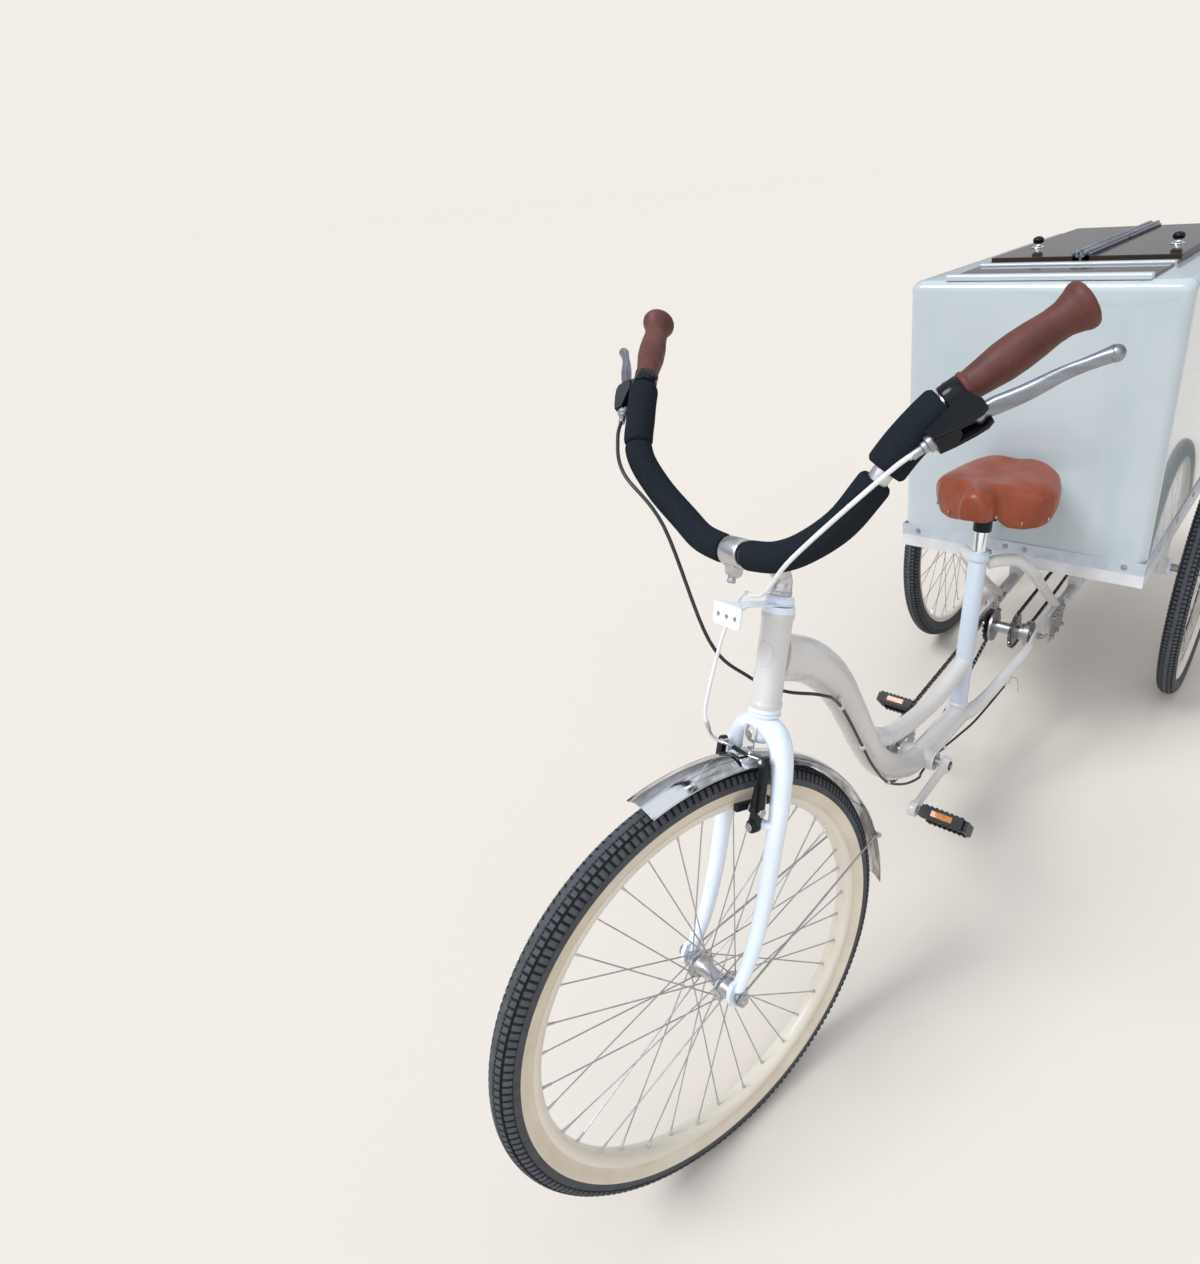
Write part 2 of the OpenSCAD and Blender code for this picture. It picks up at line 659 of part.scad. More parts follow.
// Route of the main tube: level at the head, down in an S, level at the bottom
main_path = smooth([[0, 196, 772], [0, 242, 746], [0, 290, 712], [0, 336, 663],
  [0, 372, 608], [0, 406, 538], [0, 438, 469], [0, 477, 400], [0, 533, 337],
  [0, 600, 289], [0, 650, bracket_z + 3], [0, bracket_y + 30, bracket_z - 2]], 3);
main_half_w = main_width / 2;
module main_tube_solid() {
  sweep(main_path, [[0, main_depth_top / 2], [0.35, main_depth_top / 2],
    [0.75, main_depth_end / 2 + 2], [1, main_depth_end / 2]],
    [[0, main_half_w - 2], [0.2, main_half_w], [1, main_half_w - 1]], [1, 0, 0], 18);
}
bracket_at = [0, bracket_y, bracket_z];
module main_tube() {
  color(white) difference() {
    placed() main_tube_solid();
    head_frame() cylinder(h = 900, r = head_d / 2);
    placed() translate(bracket_at) disc_x(shell_d / 2, 100);
    placed() translate([-100, bracket_y, 0]) cube([200, 200, 500]);
  }
}

// Rear tube, from the bottom bracket to the yoke
yoke_at = [0, 878, 244];
rear_tube_from = along(bracket_at, yoke_at, -0.15);
seat_foot = [0, 860, 253];
seat_top = [0, 929, 614];
seat_dir = unit(seat_top - seat_foot);
module rear_tube_solid(r) {
  difference() {
    rod(rear_tube_from, yoke_at, r);
    translate([-100, bracket_y - 200, 0]) cube([200, 200, 500]);
  }
}
stay_mid_x = stay_x - 4;
plate_t = 6;
stay_path = smooth([[15, 860, 247], [23, 890, 249], [42, 952, 266], [57, 1030, 290],
  [66, 1076, 303], [stay_mid_x - 1, jack_y - 37, jack_z - 11]], 3);
plate_end_y = 1326;
module chain_stays() {
  color(white) placed() {
    difference() {
      union() {
        rear_tube_solid(rear_tube_d / 2);
        hull() {
          translate(yoke_at - [0, 6, 1]) sphere(r = rear_tube_d / 2 + 1.6, $fn = 20);
          both_sides() translate([22, 900, 250]) sphere(r = stay_d / 2 + 3, $fn = 16);
        }
        both_sides() sweep(stay_path, [[0, stay_d / 2 + 1], [1, stay_d / 2 - 2]],
          [[0, stay_d / 2 + 1], [1, stay_d / 2 - 2]], [0, 0, 1], 12);
        both_sides() stay_plate();
      }
      translate(bracket_at) disc_x(shell_d / 2, 100);
      translate([0, jack_y, jack_z]) disc_x(jack_axle_r + 0.05, 300);
      both_sides() for (y = plate_bolts) translate([stay_mid_x, y, jack_z + 2]) disc_x(4.1, 60);
    }
    // Bosses for a rear brake, below the stays
    both_sides() rod([54, 1012, 283], [54, 1006, 262], 6);
  }
}
jack_axle_r = 5;
plate_bolts = [1240, 1275, 1308];
// Long dropout plate, from the end of the chain stay to the seat stay
module stay_plate() {
  translate([stay_mid_x - plate_t / 2, 0, 0]) rotate([90, 0, 90]) linear_extrude(plate_t)
    polygon([[1088, jack_z - 20], [1165, jack_z - 24], [1230, jack_z - 20],
      [plate_end_y, jack_z - 16], [plate_end_y, jack_z + 18], [1290, jack_z + 24],
      [1230, jack_z + 18], [1160, jack_z + 20], [1120, jack_z + 10], [1088, jack_z - 8]]);
}
seat_stay_path = smooth([[10, 940, 588], [34, 962, 590], [58, 1000, 578], [73, 1052, 534],
  [stay_mid_x + 3, 1120, 474], [stay_mid_x + 3, 1210, 396],
  [stay_mid_x, 1290, jack_z + 12]], 3);
module seat_stays() {
  color(white) placed() both_sides() difference() {
    sweep(seat_stay_path, [[0, 12], [1, 10.5]], [[0, 12], [1, 10.5]], [0, 0, 1], 12);
    rod(seat_foot, seat_top + 20 * seat_dir, seat_tube_d / 2);
    rod(clamp_from - 0.3 * seat_dir, seat_top + 20 * seat_dir, seat_tube_d / 2 + 4.5);
    stay_plate();
    translate([stay_mid_x + plate_t / 2, 1200, 0]) cube([100, 200, jack_z + 20.3]);
    translate([0, 1308, jack_z + 2]) disc_x(12, 300);
    translate([-100, 900, jack_z - 130]) cube([300, 500, 100]);
    for (y = plate_bolts) translate([stay_mid_x, y, jack_z + 2]) disc_x(9, 60);
  }
}
brace_path = smooth([[0, 476, 442], [0, 520, 417], [0, 588, 392], [0, 674, 373],
  [0, 757, 364], [0, 842, 370], [0, 890, 376]], 3);
module seat_tube() {
  color(white) placed() difference() {
    union() {
      rod(seat_foot, seat_top, seat_tube_d / 2);
      sweep(brace_path, brace_d / 2, brace_d / 2, [1, 0, 0], 16);
    }
    rod(seat_foot + 60 * seat_dir, seat_top + 20 * seat_dir, seatpost_d / 2 + run_fit);
    rod(rear_tube_from, yoke_at + [0, 30, -3], rear_tube_d / 2);
    translate(yoke_at - [0, 6, 1]) sphere(r = rear_tube_d / 2 + 1.8);
    main_tube_solid();
  }
}
clamp_from = seat_top - 14 * seat_dir;
module seat_clamp() {
  color(steel) placed() difference() {
    union() {
      rod(clamp_from, seat_top + 5 * seat_dir, seat_tube_d / 2 + 4);
      translate(clamp_from + [-9, seat_tube_d / 2, 1]) cube([18, 14, 14]);
      translate(clamp_from + [0, seat_tube_d / 2 + 9, 8]) disc_x(4, 30);
    }
    rod(clamp_from - 5 * seat_dir, seat_top, seat_tube_d / 2);
    rod(seat_foot, seat_top + 20 * seat_dir, seatpost_d / 2 + run_fit);
    translate(clamp_from + [-1, seat_tube_d / 2 + 2, -10]) cube([2, 22, 40]);
  }
}
cup_bore_r = 17;
module bottom_bracket() {
  color(white) placed() translate(bracket_at) difference() {
    disc_x(shell_d / 2, shell_len);
    disc_x(cup_bore_r, shell_len + 2);
  }
}
spindle_r = 8.5;
housing_bore_r = housing_d / 2 - 4;
housing_half = 262;
housing_gap = 50;
rear_axle_at = [0, wheelbase, rear_r];
module cup(bore, outer, depth, lip_r, lip) {
  difference() {
    union() {
      cylinder(h = depth, r = outer);
      translate([0, 0, depth]) cylinder(h = lip, r = lip_r);
    }
    translate([0, 0, -1]) cylinder(h = depth + lip + 2, r = bore);
  }
}
module bearing_cups() {
  steerer_bore = steerer_d / 2 + run_fit;
  color(steel) {
    head_frame() translate([0, 0, head_low + 12]) mirror([0, 0, 1])
      cup(steerer_bore, head_bore_r, 12, head_d / 2 + 1, 6);
    head_frame() translate([0, 0, head_low + head_len - 12])
      cup(steerer_bore, head_bore_r, 12, head_d / 2 + 1, 9);
    placed() translate(bracket_at) both_sides() translate([shell_len / 2 - 12, 0, 0])
      rotate([0, 90, 0]) cup(spindle_r + run_fit, cup_bore_r, 12, shell_d / 2 - 1, 3);
    placed() translate(rear_axle_at) both_sides() {
      translate([housing_half - 14, 0, 0]) rotate([0, 90, 0])
        cup(rear_axle_d / 2 + run_fit, housing_bore_r, 14, housing_d / 2 + 3, 6);
      translate([housing_gap + 10, 0, 0]) rotate([0, -90, 0])
        cup(rear_axle_d / 2 + run_fit, housing_bore_r, 10, housing_d / 2, 3);
    }
  }
}

// Trike kit: tubes from the dropout plates to the housing of the rear axle
kit_x = stay_mid_x + plate_t / 2 + 3;
kit_from_y = plate_end_y + 10;
post_y = 1420;
bracket_x = 246;
module rear_subframe() {
  color(white) placed() difference() {
    union() {
      both_sides() {
        rod([kit_x, kit_from_y, jack_z], [kit_x, wheelbase, rear_r], kit_d / 2);
        translate([stay_mid_x + plate_t / 2, 1222, jack_z - 16]) cube([6, 130, 36]);
        translate([kit_x - square_d / 2, post_y - square_d / 2, jack_z])
          cube([square_d, square_d, frame_low - jack_z]);
        translate([bracket_x - 4, wheelbase - 45, rear_r]) cube([8, 90, frame_low - rear_r]);
        translate([housing_gap, wheelbase, rear_r]) rotate([0, 90, 0])
          cylinder(h = housing_half - housing_gap, r = housing_d / 2);
        translate([bracket_x - 16, wheelbase - 45, frame_low - 5]) cube([36, 90, 5]);
      }
    }
    translate(rear_axle_at) disc_x(housing_bore_r, 700);
    both_sides() for (y = plate_bolts) translate([stay_mid_x, y, jack_z + 2]) disc_x(4.1, 60);
  }
}
module axle_adaptors() {
  // Folded plates that clamp the kit tubes, with their bolts
  x0 = stay_mid_x + plate_t / 2 + 6;
  color(steel) placed() both_sides() {
    difference() {
      translate([x0, 1216, jack_z - 56]) cube([4, 104, 72]);
      for (y = plate_bolts) translate([x0, y, jack_z + 2]) disc_x(4.1, 60);
    }
    for (y = plate_bolts) {
      rod([stay_mid_x - plate_t / 2 - 6, y, jack_z + 2], [x0 + 9, y, jack_z + 2], 4);
      translate([x0 + 6.5, y, jack_z + 2]) disc_x(6.5, 5);
      translate([stay_mid_x - plate_t / 2 - 3, y, jack_z + 2]) disc_x(6.5, 5.8);
    }
    for (y = [1230, 1268, 1305]) rod([x0 - 10, y, jack_z - 46], [x0 + 12, y, jack_z - 46], 4.5);
  }
}
module jackshaft_axle() {
  half = stay_mid_x + plate_t / 2 + 16;
  color(steel) placed() translate([0, jack_y, jack_z]) {
    disc_x(jack_axle_r, 2 * half);
    both_sides() translate([half - 13, 0, 0]) rotate([0, 90, 0]) cylinder(h = 7, r = 8.5, $fn = 6);
    both_sides() translate([stay_mid_x - plate_t / 2 - 2, 0, 0]) disc_x(7, 4);
  }
}

// Chain drive. A chain's route lies in the plane of Y and Z
ring_at = [bracket_y, bracket_z];
jack_at = [jack_y, jack_z];
axle_at = [wheelbase, rear_r];
function pitch_r(teeth) = chain_pitch / (2 * sin(180 / teeth));
function polar(r, a) = r * [cos(a), sin(a)];
// Closed route round two sprockets, with a slack lower run
function belt(c1, r1, c2, r2, sag) =
  let(d = c2 - c1, base = atan2(d[1], d[0]), wrap = acos((r1 - r2) / norm(d)),
    low1 = c1 + polar(r1, base - wrap), low2 = c2 + polar(r2, base - wrap))
  concat([c1 + polar(r1, base + wrap)],
    [for (i = [0 : 16]) c2 + polar(r2, base + wrap - 2 * wrap * i / 16)],
    [for (i = [1 : 9]) along(low2, low1, i / 10) - [0, 4 * sag * i / 10 * (1 - i / 10)]],
    [for (i = [0 : 23]) c1 + polar(r1, base - wrap - (360 - 2 * wrap) * i / 24)]);
// Points round a closed route, three to each link, with the band's half height
function chain_points(route) =
  let(loop = concat(route, [route[0]]), total = path_total(loop),
    links = 2 * round(total / chain_pitch / 2), runs = run_lengths(loop))
  [for (i = [0 : 3 * links - 1]) let(s = total * i / (3 * links)) at_run(loop, runs, s)];
function path_total(p) = let(r = run_lengths(p)) r[len(r) - 1];
function at_run(p, r, s) = let(k = search_run(r, s)) along(p[k], p[k + 1],
  (s - r[k]) / (r[k + 1] - r[k]));
function search_run(r, s) = max([for (i = [0 : len(r) - 2]) r[i] <= s ? i : 0]);
function normal_at(p, i) = let(n = len(p), d = unit(p[(i + 1) % n] - p[(i + n - 1) % n])) [-d[1], d[0]];
link_half = [4.2, 3.4, 3.4];
module chain_band(p, from, t) {
  n = len(p);
  for (m = [0, 1]) mirror([0, 0, m]) translate([0, 0, from]) linear_extrude(t) difference() {
    polygon([for (i = [0 : n - 1]) p[i] + link_half[i % 3] * normal_at(p, i)]);
    polygon([for (i = [0 : n - 1]) p[i] - link_half[i % 3] * normal_at(p, i)]);
  }
}
roller_r = 3.9;
plate_from = 1.9;
module chain(route, c1, r1, c2, r2) {
  p = chain_points(route);
  n = len(p);
  rotate([90, 0, 90]) {
    chain_band(p, plate_from, 1.5);
    for (i = [0 : 3 : n - 1])
      if (norm(p[i] - c1) > r1 + 9 && norm(p[i] - c2) > r2 + 9)
        translate([p[i][0], p[i][1], 0]) {
          cylinder(h = 2 * plate_from, r = roller_r, center = true);
          cylinder(h = 9, r = 1.8, center = true);
        }
  }
}
crank_sag = 26;
rear_sag = 6;
module crank_chain() {
  r1 = pitch_r(ring_teeth);
  r2 = pitch_r(cog_teeth);
  color("dimgray") placed() translate([-crank_chain_x, 0, 0])
    chain(belt(ring_at, r1, jack_at, r2, crank_sag), ring_at, r1, jack_at, r2);
}
module rear_chain() {
  r = pitch_r(drive_teeth);
  color("dimgray") placed() translate([rear_chain_x, 0, 0])
    chain(belt(jack_at, r, axle_at, r, rear_sag), jack_at, r, axle_at, r);
}
tooth_t = 2.2;
// Toothed wheel in the plane of Y and Z
module sprocket(teeth, t = tooth_t) {
  r = pitch_r(teeth);
  step = 360 / teeth;
  rotate([90, 0, 90]) translate([0, 0, -t / 2]) linear_extrude(t) polygon([
    for (i = [0 : teeth - 1]) for (q = [[-0.5, -3.9], [-0.32, -2.6], [-0.2, 0.6], [-0.07, 3.6],
      [0.07, 3.6], [0.2, 0.6], [0.32, -2.6]]) polar(r + q[1], step * (i + q[0]))]);
}
cog_x = -crank_chain_x;
module freewheel_cog() {
  color("dimgray") placed() translate([0, jack_y, jack_z]) difference() {
    union() {
      translate([cog_x, 0, 0]) sprocket(cog_teeth);
      translate([cog_x, 0, 0]) disc_x(26, 5);
      translate([cog_x + 5, 0, 0]) disc_x(20, 12);
    }
    disc_x(jack_axle_r + run_fit, 300);
    for (a = [0 : 60 : 300]) translate([cog_x, polar(15, a)[0], polar(15, a)[1]])
      translate([-4, 0, 0]) disc_x(2.5, 6);
  }
}
hub_from = cog_x + 11.6;
hub_to = stay_mid_x - plate_t / 2 - 4.6;
module jackshaft_hub() {
  color(steel) placed() translate([0, jack_y, jack_z]) difference() {
    union() {
      translate([(hub_from + hub_to) / 2, 0, 0]) disc_x(14, hub_to - hub_from);
      translate([hub_from + 3, 0, 0]) disc_x(38, 5);
      translate([rear_chain_x, 0, 0]) sprocket(drive_teeth);
      translate([rear_chain_x, 0, 0]) disc_x(24, 7);
      translate([hub_to - 9, 0, 0]) disc_x(31, 12);
      translate([hub_to - 20, 0, 0]) disc_x(22, 14);
    }
    disc_x(jack_axle_r + run_fit, 300);
  }
}
crank_turn = -8;
arm_x = shell_len / 2 + 3 + 21;
arm_w = 12;
module crank_frame() {
  placed() translate(bracket_at) rotate([crank_turn, 0, 0]) children();
}
module crank_spindle() {
  color(steel) crank_frame() difference() {
    disc_x(spindle_r, 2 * arm_x + arm_w);
    both_sides() translate([arm_x + arm_w / 2, 0, 0]) disc_x(3, 20);
  }
}
pedal_axle_r = 6;
arm_splay = 4;
// Crank arm, pointing to the front on the left side
module crank_arm(way) {
  end_x = arm_x + crank_len * sin(arm_splay);
  difference() {
    union() {
      translate([arm_x, 0, 0]) disc_x(17, arm_w + 6);
      if (way < 0) spider();
      translate([arm_x, 0, 0]) rotate([0, 0, way * arm_splay]) rotate([90, 0, 90])
        translate([0, 0, -arm_w / 2]) linear_extrude(arm_w)
        polygon([[0, 14], [-way * 60, 11], [-way * (crank_len - 14), 10], [-way * crank_len, 11],
          [-way * crank_len, -11], [-way * (crank_len - 14), -10], [-way * 60, -13], [0, -16]]);
      translate([end_x, -way * crank_len, 0]) disc_x(14, arm_w + 5);
    }
    disc_x(spindle_r, 300);
    translate([end_x, -way * crank_len, 0]) disc_x(pedal_axle_r + run_fit, 60);
  }
}
module crank_arms() {
  color(white) crank_frame() {
    crank_arm(1);
    mirror([1, 0, 0]) crank_arm(-1);
  }
}
// Five arms behind the right crank, which carry the chainring
module spider() {
  translate([arm_x - arm_w / 2 - 4.5, 0, 0]) rotate([90, 0, 90]) linear_extrude(5) {
    circle(r = 24);
    for (a = [90 : 72 : 378]) rotate(a) translate([0, -8]) square([52, 16]);
  }
}
module chainring() {
  ring_r = pitch_r(ring_teeth);
  color(steel) crank_frame() translate([-crank_chain_x, 0, 0]) difference() {
    union() {
      sprocket(ring_teeth);
      for (a = [0 : 72 : 288]) rotate([a, 0, 0]) translate([-1.75, 0, 46])
        disc_x(5, 3.5);
    }
    disc_x(38, 30);
    for (a = [36 : 72 : 324]) rotate([a, 0, 0]) translate([0, 0, ring_r - 15]) disc_x(7, 30);
  }
}
pedal_len = 96;
pedal_w = 62;
pedal_h = 24;
pedal_tilt = 22;
module pedal(way) {
  end_x = arm_x + crank_len * sin(arm_splay);
  axle_from = end_x - arm_w / 2 - 2;
  body_from = end_x + arm_w / 2 + 2.5 + side_gap + 6;
  crank_frame() mirror([way < 0 ? 1 : 0, 0, 0]) translate([0, -way * crank_len, 0]) {
    translate([axle_from, 0, 0]) rotate([0, 90, 0]) cylinder(h = body_from - axle_from + 4, r = pedal_axle_r);
    translate([body_from - 3.5, 0, 0]) disc_x(9, 5);
    translate([body_from, 0, 0]) rotate([pedal_tilt, 0, 0]) difference() {
      translate([0, 0, -pedal_h / 2]) linear_extrude(pedal_h) polygon([[0, -12], [14, -pedal_w / 2],
        [pedal_len - 12, -pedal_w / 2], [pedal_len, -pedal_w / 2 + 12], [pedal_len, pedal_w / 2 - 12],
        [pedal_len - 12, pedal_w / 2], [14, pedal_w / 2], [0, 12]]);
      for (m = [-1, 1]) for (k = [0 : 2])
        translate([18 + 23 * k, m * 19 - 7, -pedal_h]) cube([16, 14, 2 * pedal_h]);
      for (m = [-1, 1]) translate([pedal_len / 2 - 22, m * (pedal_w / 2 + 0.5) - 2.5, -6])
        cube([44, 5, 12]);
    }
  }
}
module left_pedal() { color(black) pedal(1); }
module right_pedal() { color(black) pedal(-1); }

axle_end = rear_track / 2 + rear_hub_half + 16;
module rear_axle() {
  color(steel) placed() translate(rear_axle_at) {
    disc_x(rear_axle_d / 2, 2 * axle_end);
    translate([rear_chain_x, 0, 0]) sprocket(drive_teeth);
    translate([rear_chain_x + 6, 0, 0]) disc_x(20, 16);
    both_sides() translate([rear_track / 2 + rear_hub_half + side_gap, 0, 0])
      rotate([0, 90, 0]) cylinder(h = 10, r = 15, $fn = 6);
    both_sides() translate([rear_track / 2 - rear_hub_half - side_gap - 4, 0, 0])
      disc_x(13, 6);
  }
}

// Box and its frame; the box stands over the rear axle
frame_top = frame_low + square_d;
module box_frame_at() { placed() translate([0, wheelbase, 0]) children(); }
module block(x, y, z0, z1) {
  translate([-x, -y, z0]) cube([2 * x, 2 * y, z1 - z0]);
}
module box_frame() {
  color(white) box_frame_at() {
    difference() {
      block(trim_half_w, trim_half_len, frame_low, frame_top);
      block(trim_half_w - square_d, trim_half_len - square_d, frame_low - 1, frame_top + 1);
    }
    for (y = [post_y - wheelbase, 0, 170, 330]) translate([0, y, 0])
      block(trim_half_w - square_d, square_d / 2, frame_low, frame_top);
    translate([0, -350, 0]) block(trim_half_w - square_d, square_d / 2, frame_low, frame_top);
  }
}
trim_bolt_gap = 180;
module box_trim() {
  color(steel) box_frame_at() {
    difference() {
      block(trim_half_w, trim_half_len, frame_top, frame_top + trim_h);
      block(box_w / 2, box_len / 2, frame_top + trim_t, frame_top + trim_h + 1);
      block(box_w / 2 - 24, box_len / 2 - 24, frame_top - 1, frame_top + trim_h);
    }
    for (k = [-2 : 2]) both_sides()
      translate([trim_half_w + 1.2, k * trim_bolt_gap, frame_top + trim_h / 2]) disc_x(4.5, 2.8);
    for (k = [-1 : 1]) for (m = [0, 1]) mirror([0, m, 0])
      translate([k * trim_bolt_gap + 60, trim_half_len + 1.2, frame_top + trim_h / 2])
        rotate([90, 0, 0]) cylinder(h = 2.8, r = 4.5, center = true);
  }
}
// Half profile of a wall that leans in by the taper and rounds over at the top
function wall_profile(half, z0, z1, lean, r) = concat([[half, z0]],
  [for (a = [0 : 15 : 90]) [half - lean - r + r * cos(a), z1 - r + r * sin(a)]]);
function mirrored(p) = concat(p, [for (i = [len(p) - 1 : -1 : 0]) [-p[i][0], p[i][1]]]);
module rounded_plan(half_x, half_y, r) {
  difference() {
    square([2 * half_x, 2 * half_y], center = true);
    for (sx = [-1, 1]) for (sy = [-1, 1]) translate([sx * half_x, sy * half_y])
      difference() {
        square(2 * r, center = true);
        translate([-sx * r, -sy * r]) circle(r = r);
      }
  }
}
box_foot = frame_top + trim_t;
top_round = 24;
module box_form(inset, z0, z1, r_top) {
  half_x = box_w / 2 - inset;
  half_y = box_len / 2 - inset;
  intersection() {
    rotate([90, 0, 0]) translate([0, 0, -600]) linear_extrude(1200)
      polygon(mirrored(wall_profile(half_x, z0, z1, box_taper, r_top)));
    rotate([90, 0, 90]) translate([0, 0, -600]) linear_extrude(1200)
      polygon(mirrored(wall_profile(half_y, z0, z1, box_taper, r_top)));
    translate([0, 0, z0]) linear_extrude(z1 - z0)
      rounded_plan(half_x, half_y, box_corner_r - inset);
  }
}
lid_from = 1404 - wheelbase;
lid_to = 2046 - wheelbase;
well_half = lids_w / 2 - 12;
well_from = lid_from + 12;
well_to = lid_to - 12;
// Block of the well's plan, wider all round by a margin
module well_block(wide, h) {
  translate([-well_half - wide, well_from - wide, 0])
    cube([2 * (well_half + wide), well_to - well_from + 2 * wide, h]);
}
module box_shell() {
  color("white") box_frame_at() difference() {
    box_form(0, box_foot, box_top_z, top_round);
    box_form(shell_wall, box_foot + shell_wall, box_top_z - shell_wall, top_round - shell_wall);
    translate([0, 0, box_top_z - 60]) well_block(0, 100);
  }
}
module box_liner() {
  // Tank that hangs from the shell's top by its flange
  top = box_top_z - shell_wall - 0.2;
  color("whitesmoke") box_frame_at() difference() {
    union() {
      translate([0, 0, well_floor - liner_wall]) well_block(liner_wall, top - well_floor + liner_wall);
      translate([0, 0, top - 4]) well_block(34, 4);
    }
    translate([0, 0, well_floor]) well_block(0, box_top_z);
  }
}
// Deck: front lip, cross strips, side rails and the hinge beam of the lids
deck_half = lids_w / 2;
strip_h = 11;
hinge_z = box_top_z + 20;
hinge_x = 9;
pin_r = 2.5;
lug_ys = [lid_from - 1, (lid_from + lid_to) / 2, lid_to + 1];
module strip(y0, y1, h, r) {
  translate([-deck_half, 0, 0]) rotate([90, 0, 90]) linear_extrude(2 * deck_half)
    polygon(concat([[y0, box_top_z], [y1, box_top_z]],
      [for (a = [0 : 30 : 90]) [y1 - r + r * cos(a), box_top_z + h - r + r * sin(a)]],
      [for (a = [90 : 30 : 180]) [y0 + r + r * cos(a), box_top_z + h - r + r * sin(a)]]));
}
module box_top() {
  front_y = 1162 - wheelbase;
  color("whitesmoke") box_frame_at() {
    strip(front_y, front_y + 58, strip_h, 6);
    strip(front_y + 58, lid_from - 54, 5, 1);
    strip(lid_from - 54, lid_from - 1, strip_h, 3);
    strip(lid_to + 1, lid_to + 42, strip_h, 3);
    translate([-3, lid_from - 1, box_top_z]) cube([6, lid_to - lid_from + 2, hinge_z - box_top_z]);
    both_sides() for (y = lug_ys) translate([0, y - 6, box_top_z]) {
      translate([3, 0, 12]) cube([hinge_x - 3, 12, hinge_z - box_top_z - 12 - 3]);
      translate([hinge_x, 0, hinge_z - box_top_z]) rotate([-90, 0, 0]) cylinder(h = 12, r = 5);
    }
    both_sides() translate([hinge_x, lid_from - 6, hinge_z]) rotate([-90, 0, 0])
      cylinder(h = lid_to - lid_from + 12, r = pin_r);
  }
}
knob_x = 153;
knob_y = 1585 - wheelbase;
lid_z = box_top_z + 0.3;
module lid() {
  color([0.12, 0.12, 0.13]) box_frame_at() {
    difference() {
      union() {
        translate([hinge_x + 7, lid_from + 1, lid_z]) cube([deck_half - hinge_x - 7, lid_to - lid_from - 2, lid_t]);
        for (k = [0, 1]) translate([hinge_x, lug_ys[k] + 8, hinge_z]) rotate([-90, 0, 0])
          cylinder(h = lug_ys[1] - lug_ys[0] - 16, r = 5.5);
        for (k = [0, 1]) translate([hinge_x, lug_ys[k] + 8, hinge_z - 5.5])
          cube([12, lug_ys[1] - lug_ys[0] - 16, 5]);
        for (k = [0, 1]) translate([hinge_x + 7, lug_ys[k] + 8, lid_z + 2])
          cube([5, lug_ys[1] - lug_ys[0] - 16, hinge_z - lid_z - 3]);
      }
      translate([hinge_x, lid_from - 20, hinge_z]) rotate([-90, 0, 0])
        cylinder(h = lid_to - lid_from + 40, r = pin_r + run_fit);
    }
    // Knob: a chrome neck under a low dome
    translate([knob_x, knob_y, lid_z + lid_t]) rotate_extrude() polygon(concat(
      [[0, 0], [knob_d / 2 - 1, 0], [knob_d / 2 - 3, 4], [knob_d / 2 - 5, 9]],
      [for (a = [-30 : 15 : 90]) [knob_d / 2 * cos(a), 16 + 9 * sin(a)]]));
  }
}
module left_lid() { lid(); }
module right_lid() { mirror([1, 0, 0]) lid(); }

// Saddle on its post
post_top = seat_top + 76 * seat_dir;
post_low = seat_top - 150 * seat_dir;
rail_x = 22;
module seatpost() {
  color(chrome) placed() difference() {
    rod(post_low, post_top, seatpost_d / 2);
    rod(post_low - 5 * seat_dir, post_top - 30 * seat_dir, seatpost_d / 2 - 2.5);
  }
}
saddle_from = 872;
saddle_len = 258;
saddle_z = 729;
// Pan that the rails hold, and the lower edges of the nose and of the side flaps
pan_z = saddle_z + 9;
nose_low = saddle_z - 28;
flap_low = saddle_z - 45;
flaps_from = saddle_from + 53;
module saddle_form(drop, thin) {
  path = [for (i = [0 : 20]) [0, saddle_from + thin + (saddle_len - 2 * thin) * i / 20,
    saddle_z - 13 - drop]];
  sweep(path, [[0, 12 - thin], [0.04, 34 - thin], [0.1, 50 - thin], [0.2, 52 - thin],
    [0.36, 45 - thin], [0.6, 45 - thin], [0.9, 48 - thin], [0.97, 38 - thin], [1, 18 - thin]],
    [[0, 12 - thin], [0.04, 26 - thin], [0.1, 34 - thin], [0.2, 42 - thin], [0.27, 64 - thin],
     [0.36, 108 - thin], [0.44, 128 - thin], [0.55, 131 - thin], [0.72, 129 - thin],
     [0.85, 119 - thin], [0.94, 94 - thin], [1, 58 - thin]], [1, 0, 0], 20);
}
module saddle() {
  below = [400, 400, 100];
  color(tan_leather) placed() difference() {
    saddle_form(0, 0);
    intersection() {
      saddle_form(10, 5);
      translate([-200, saddle_from - 50, pan_z - 100]) cube(below);
    }
    translate([-200, saddle_from - 50, flap_low - 100]) cube(below);
    translate([-200, flaps_from - 100, nose_low - 100]) cube([400, 100, 100]);
  }
}
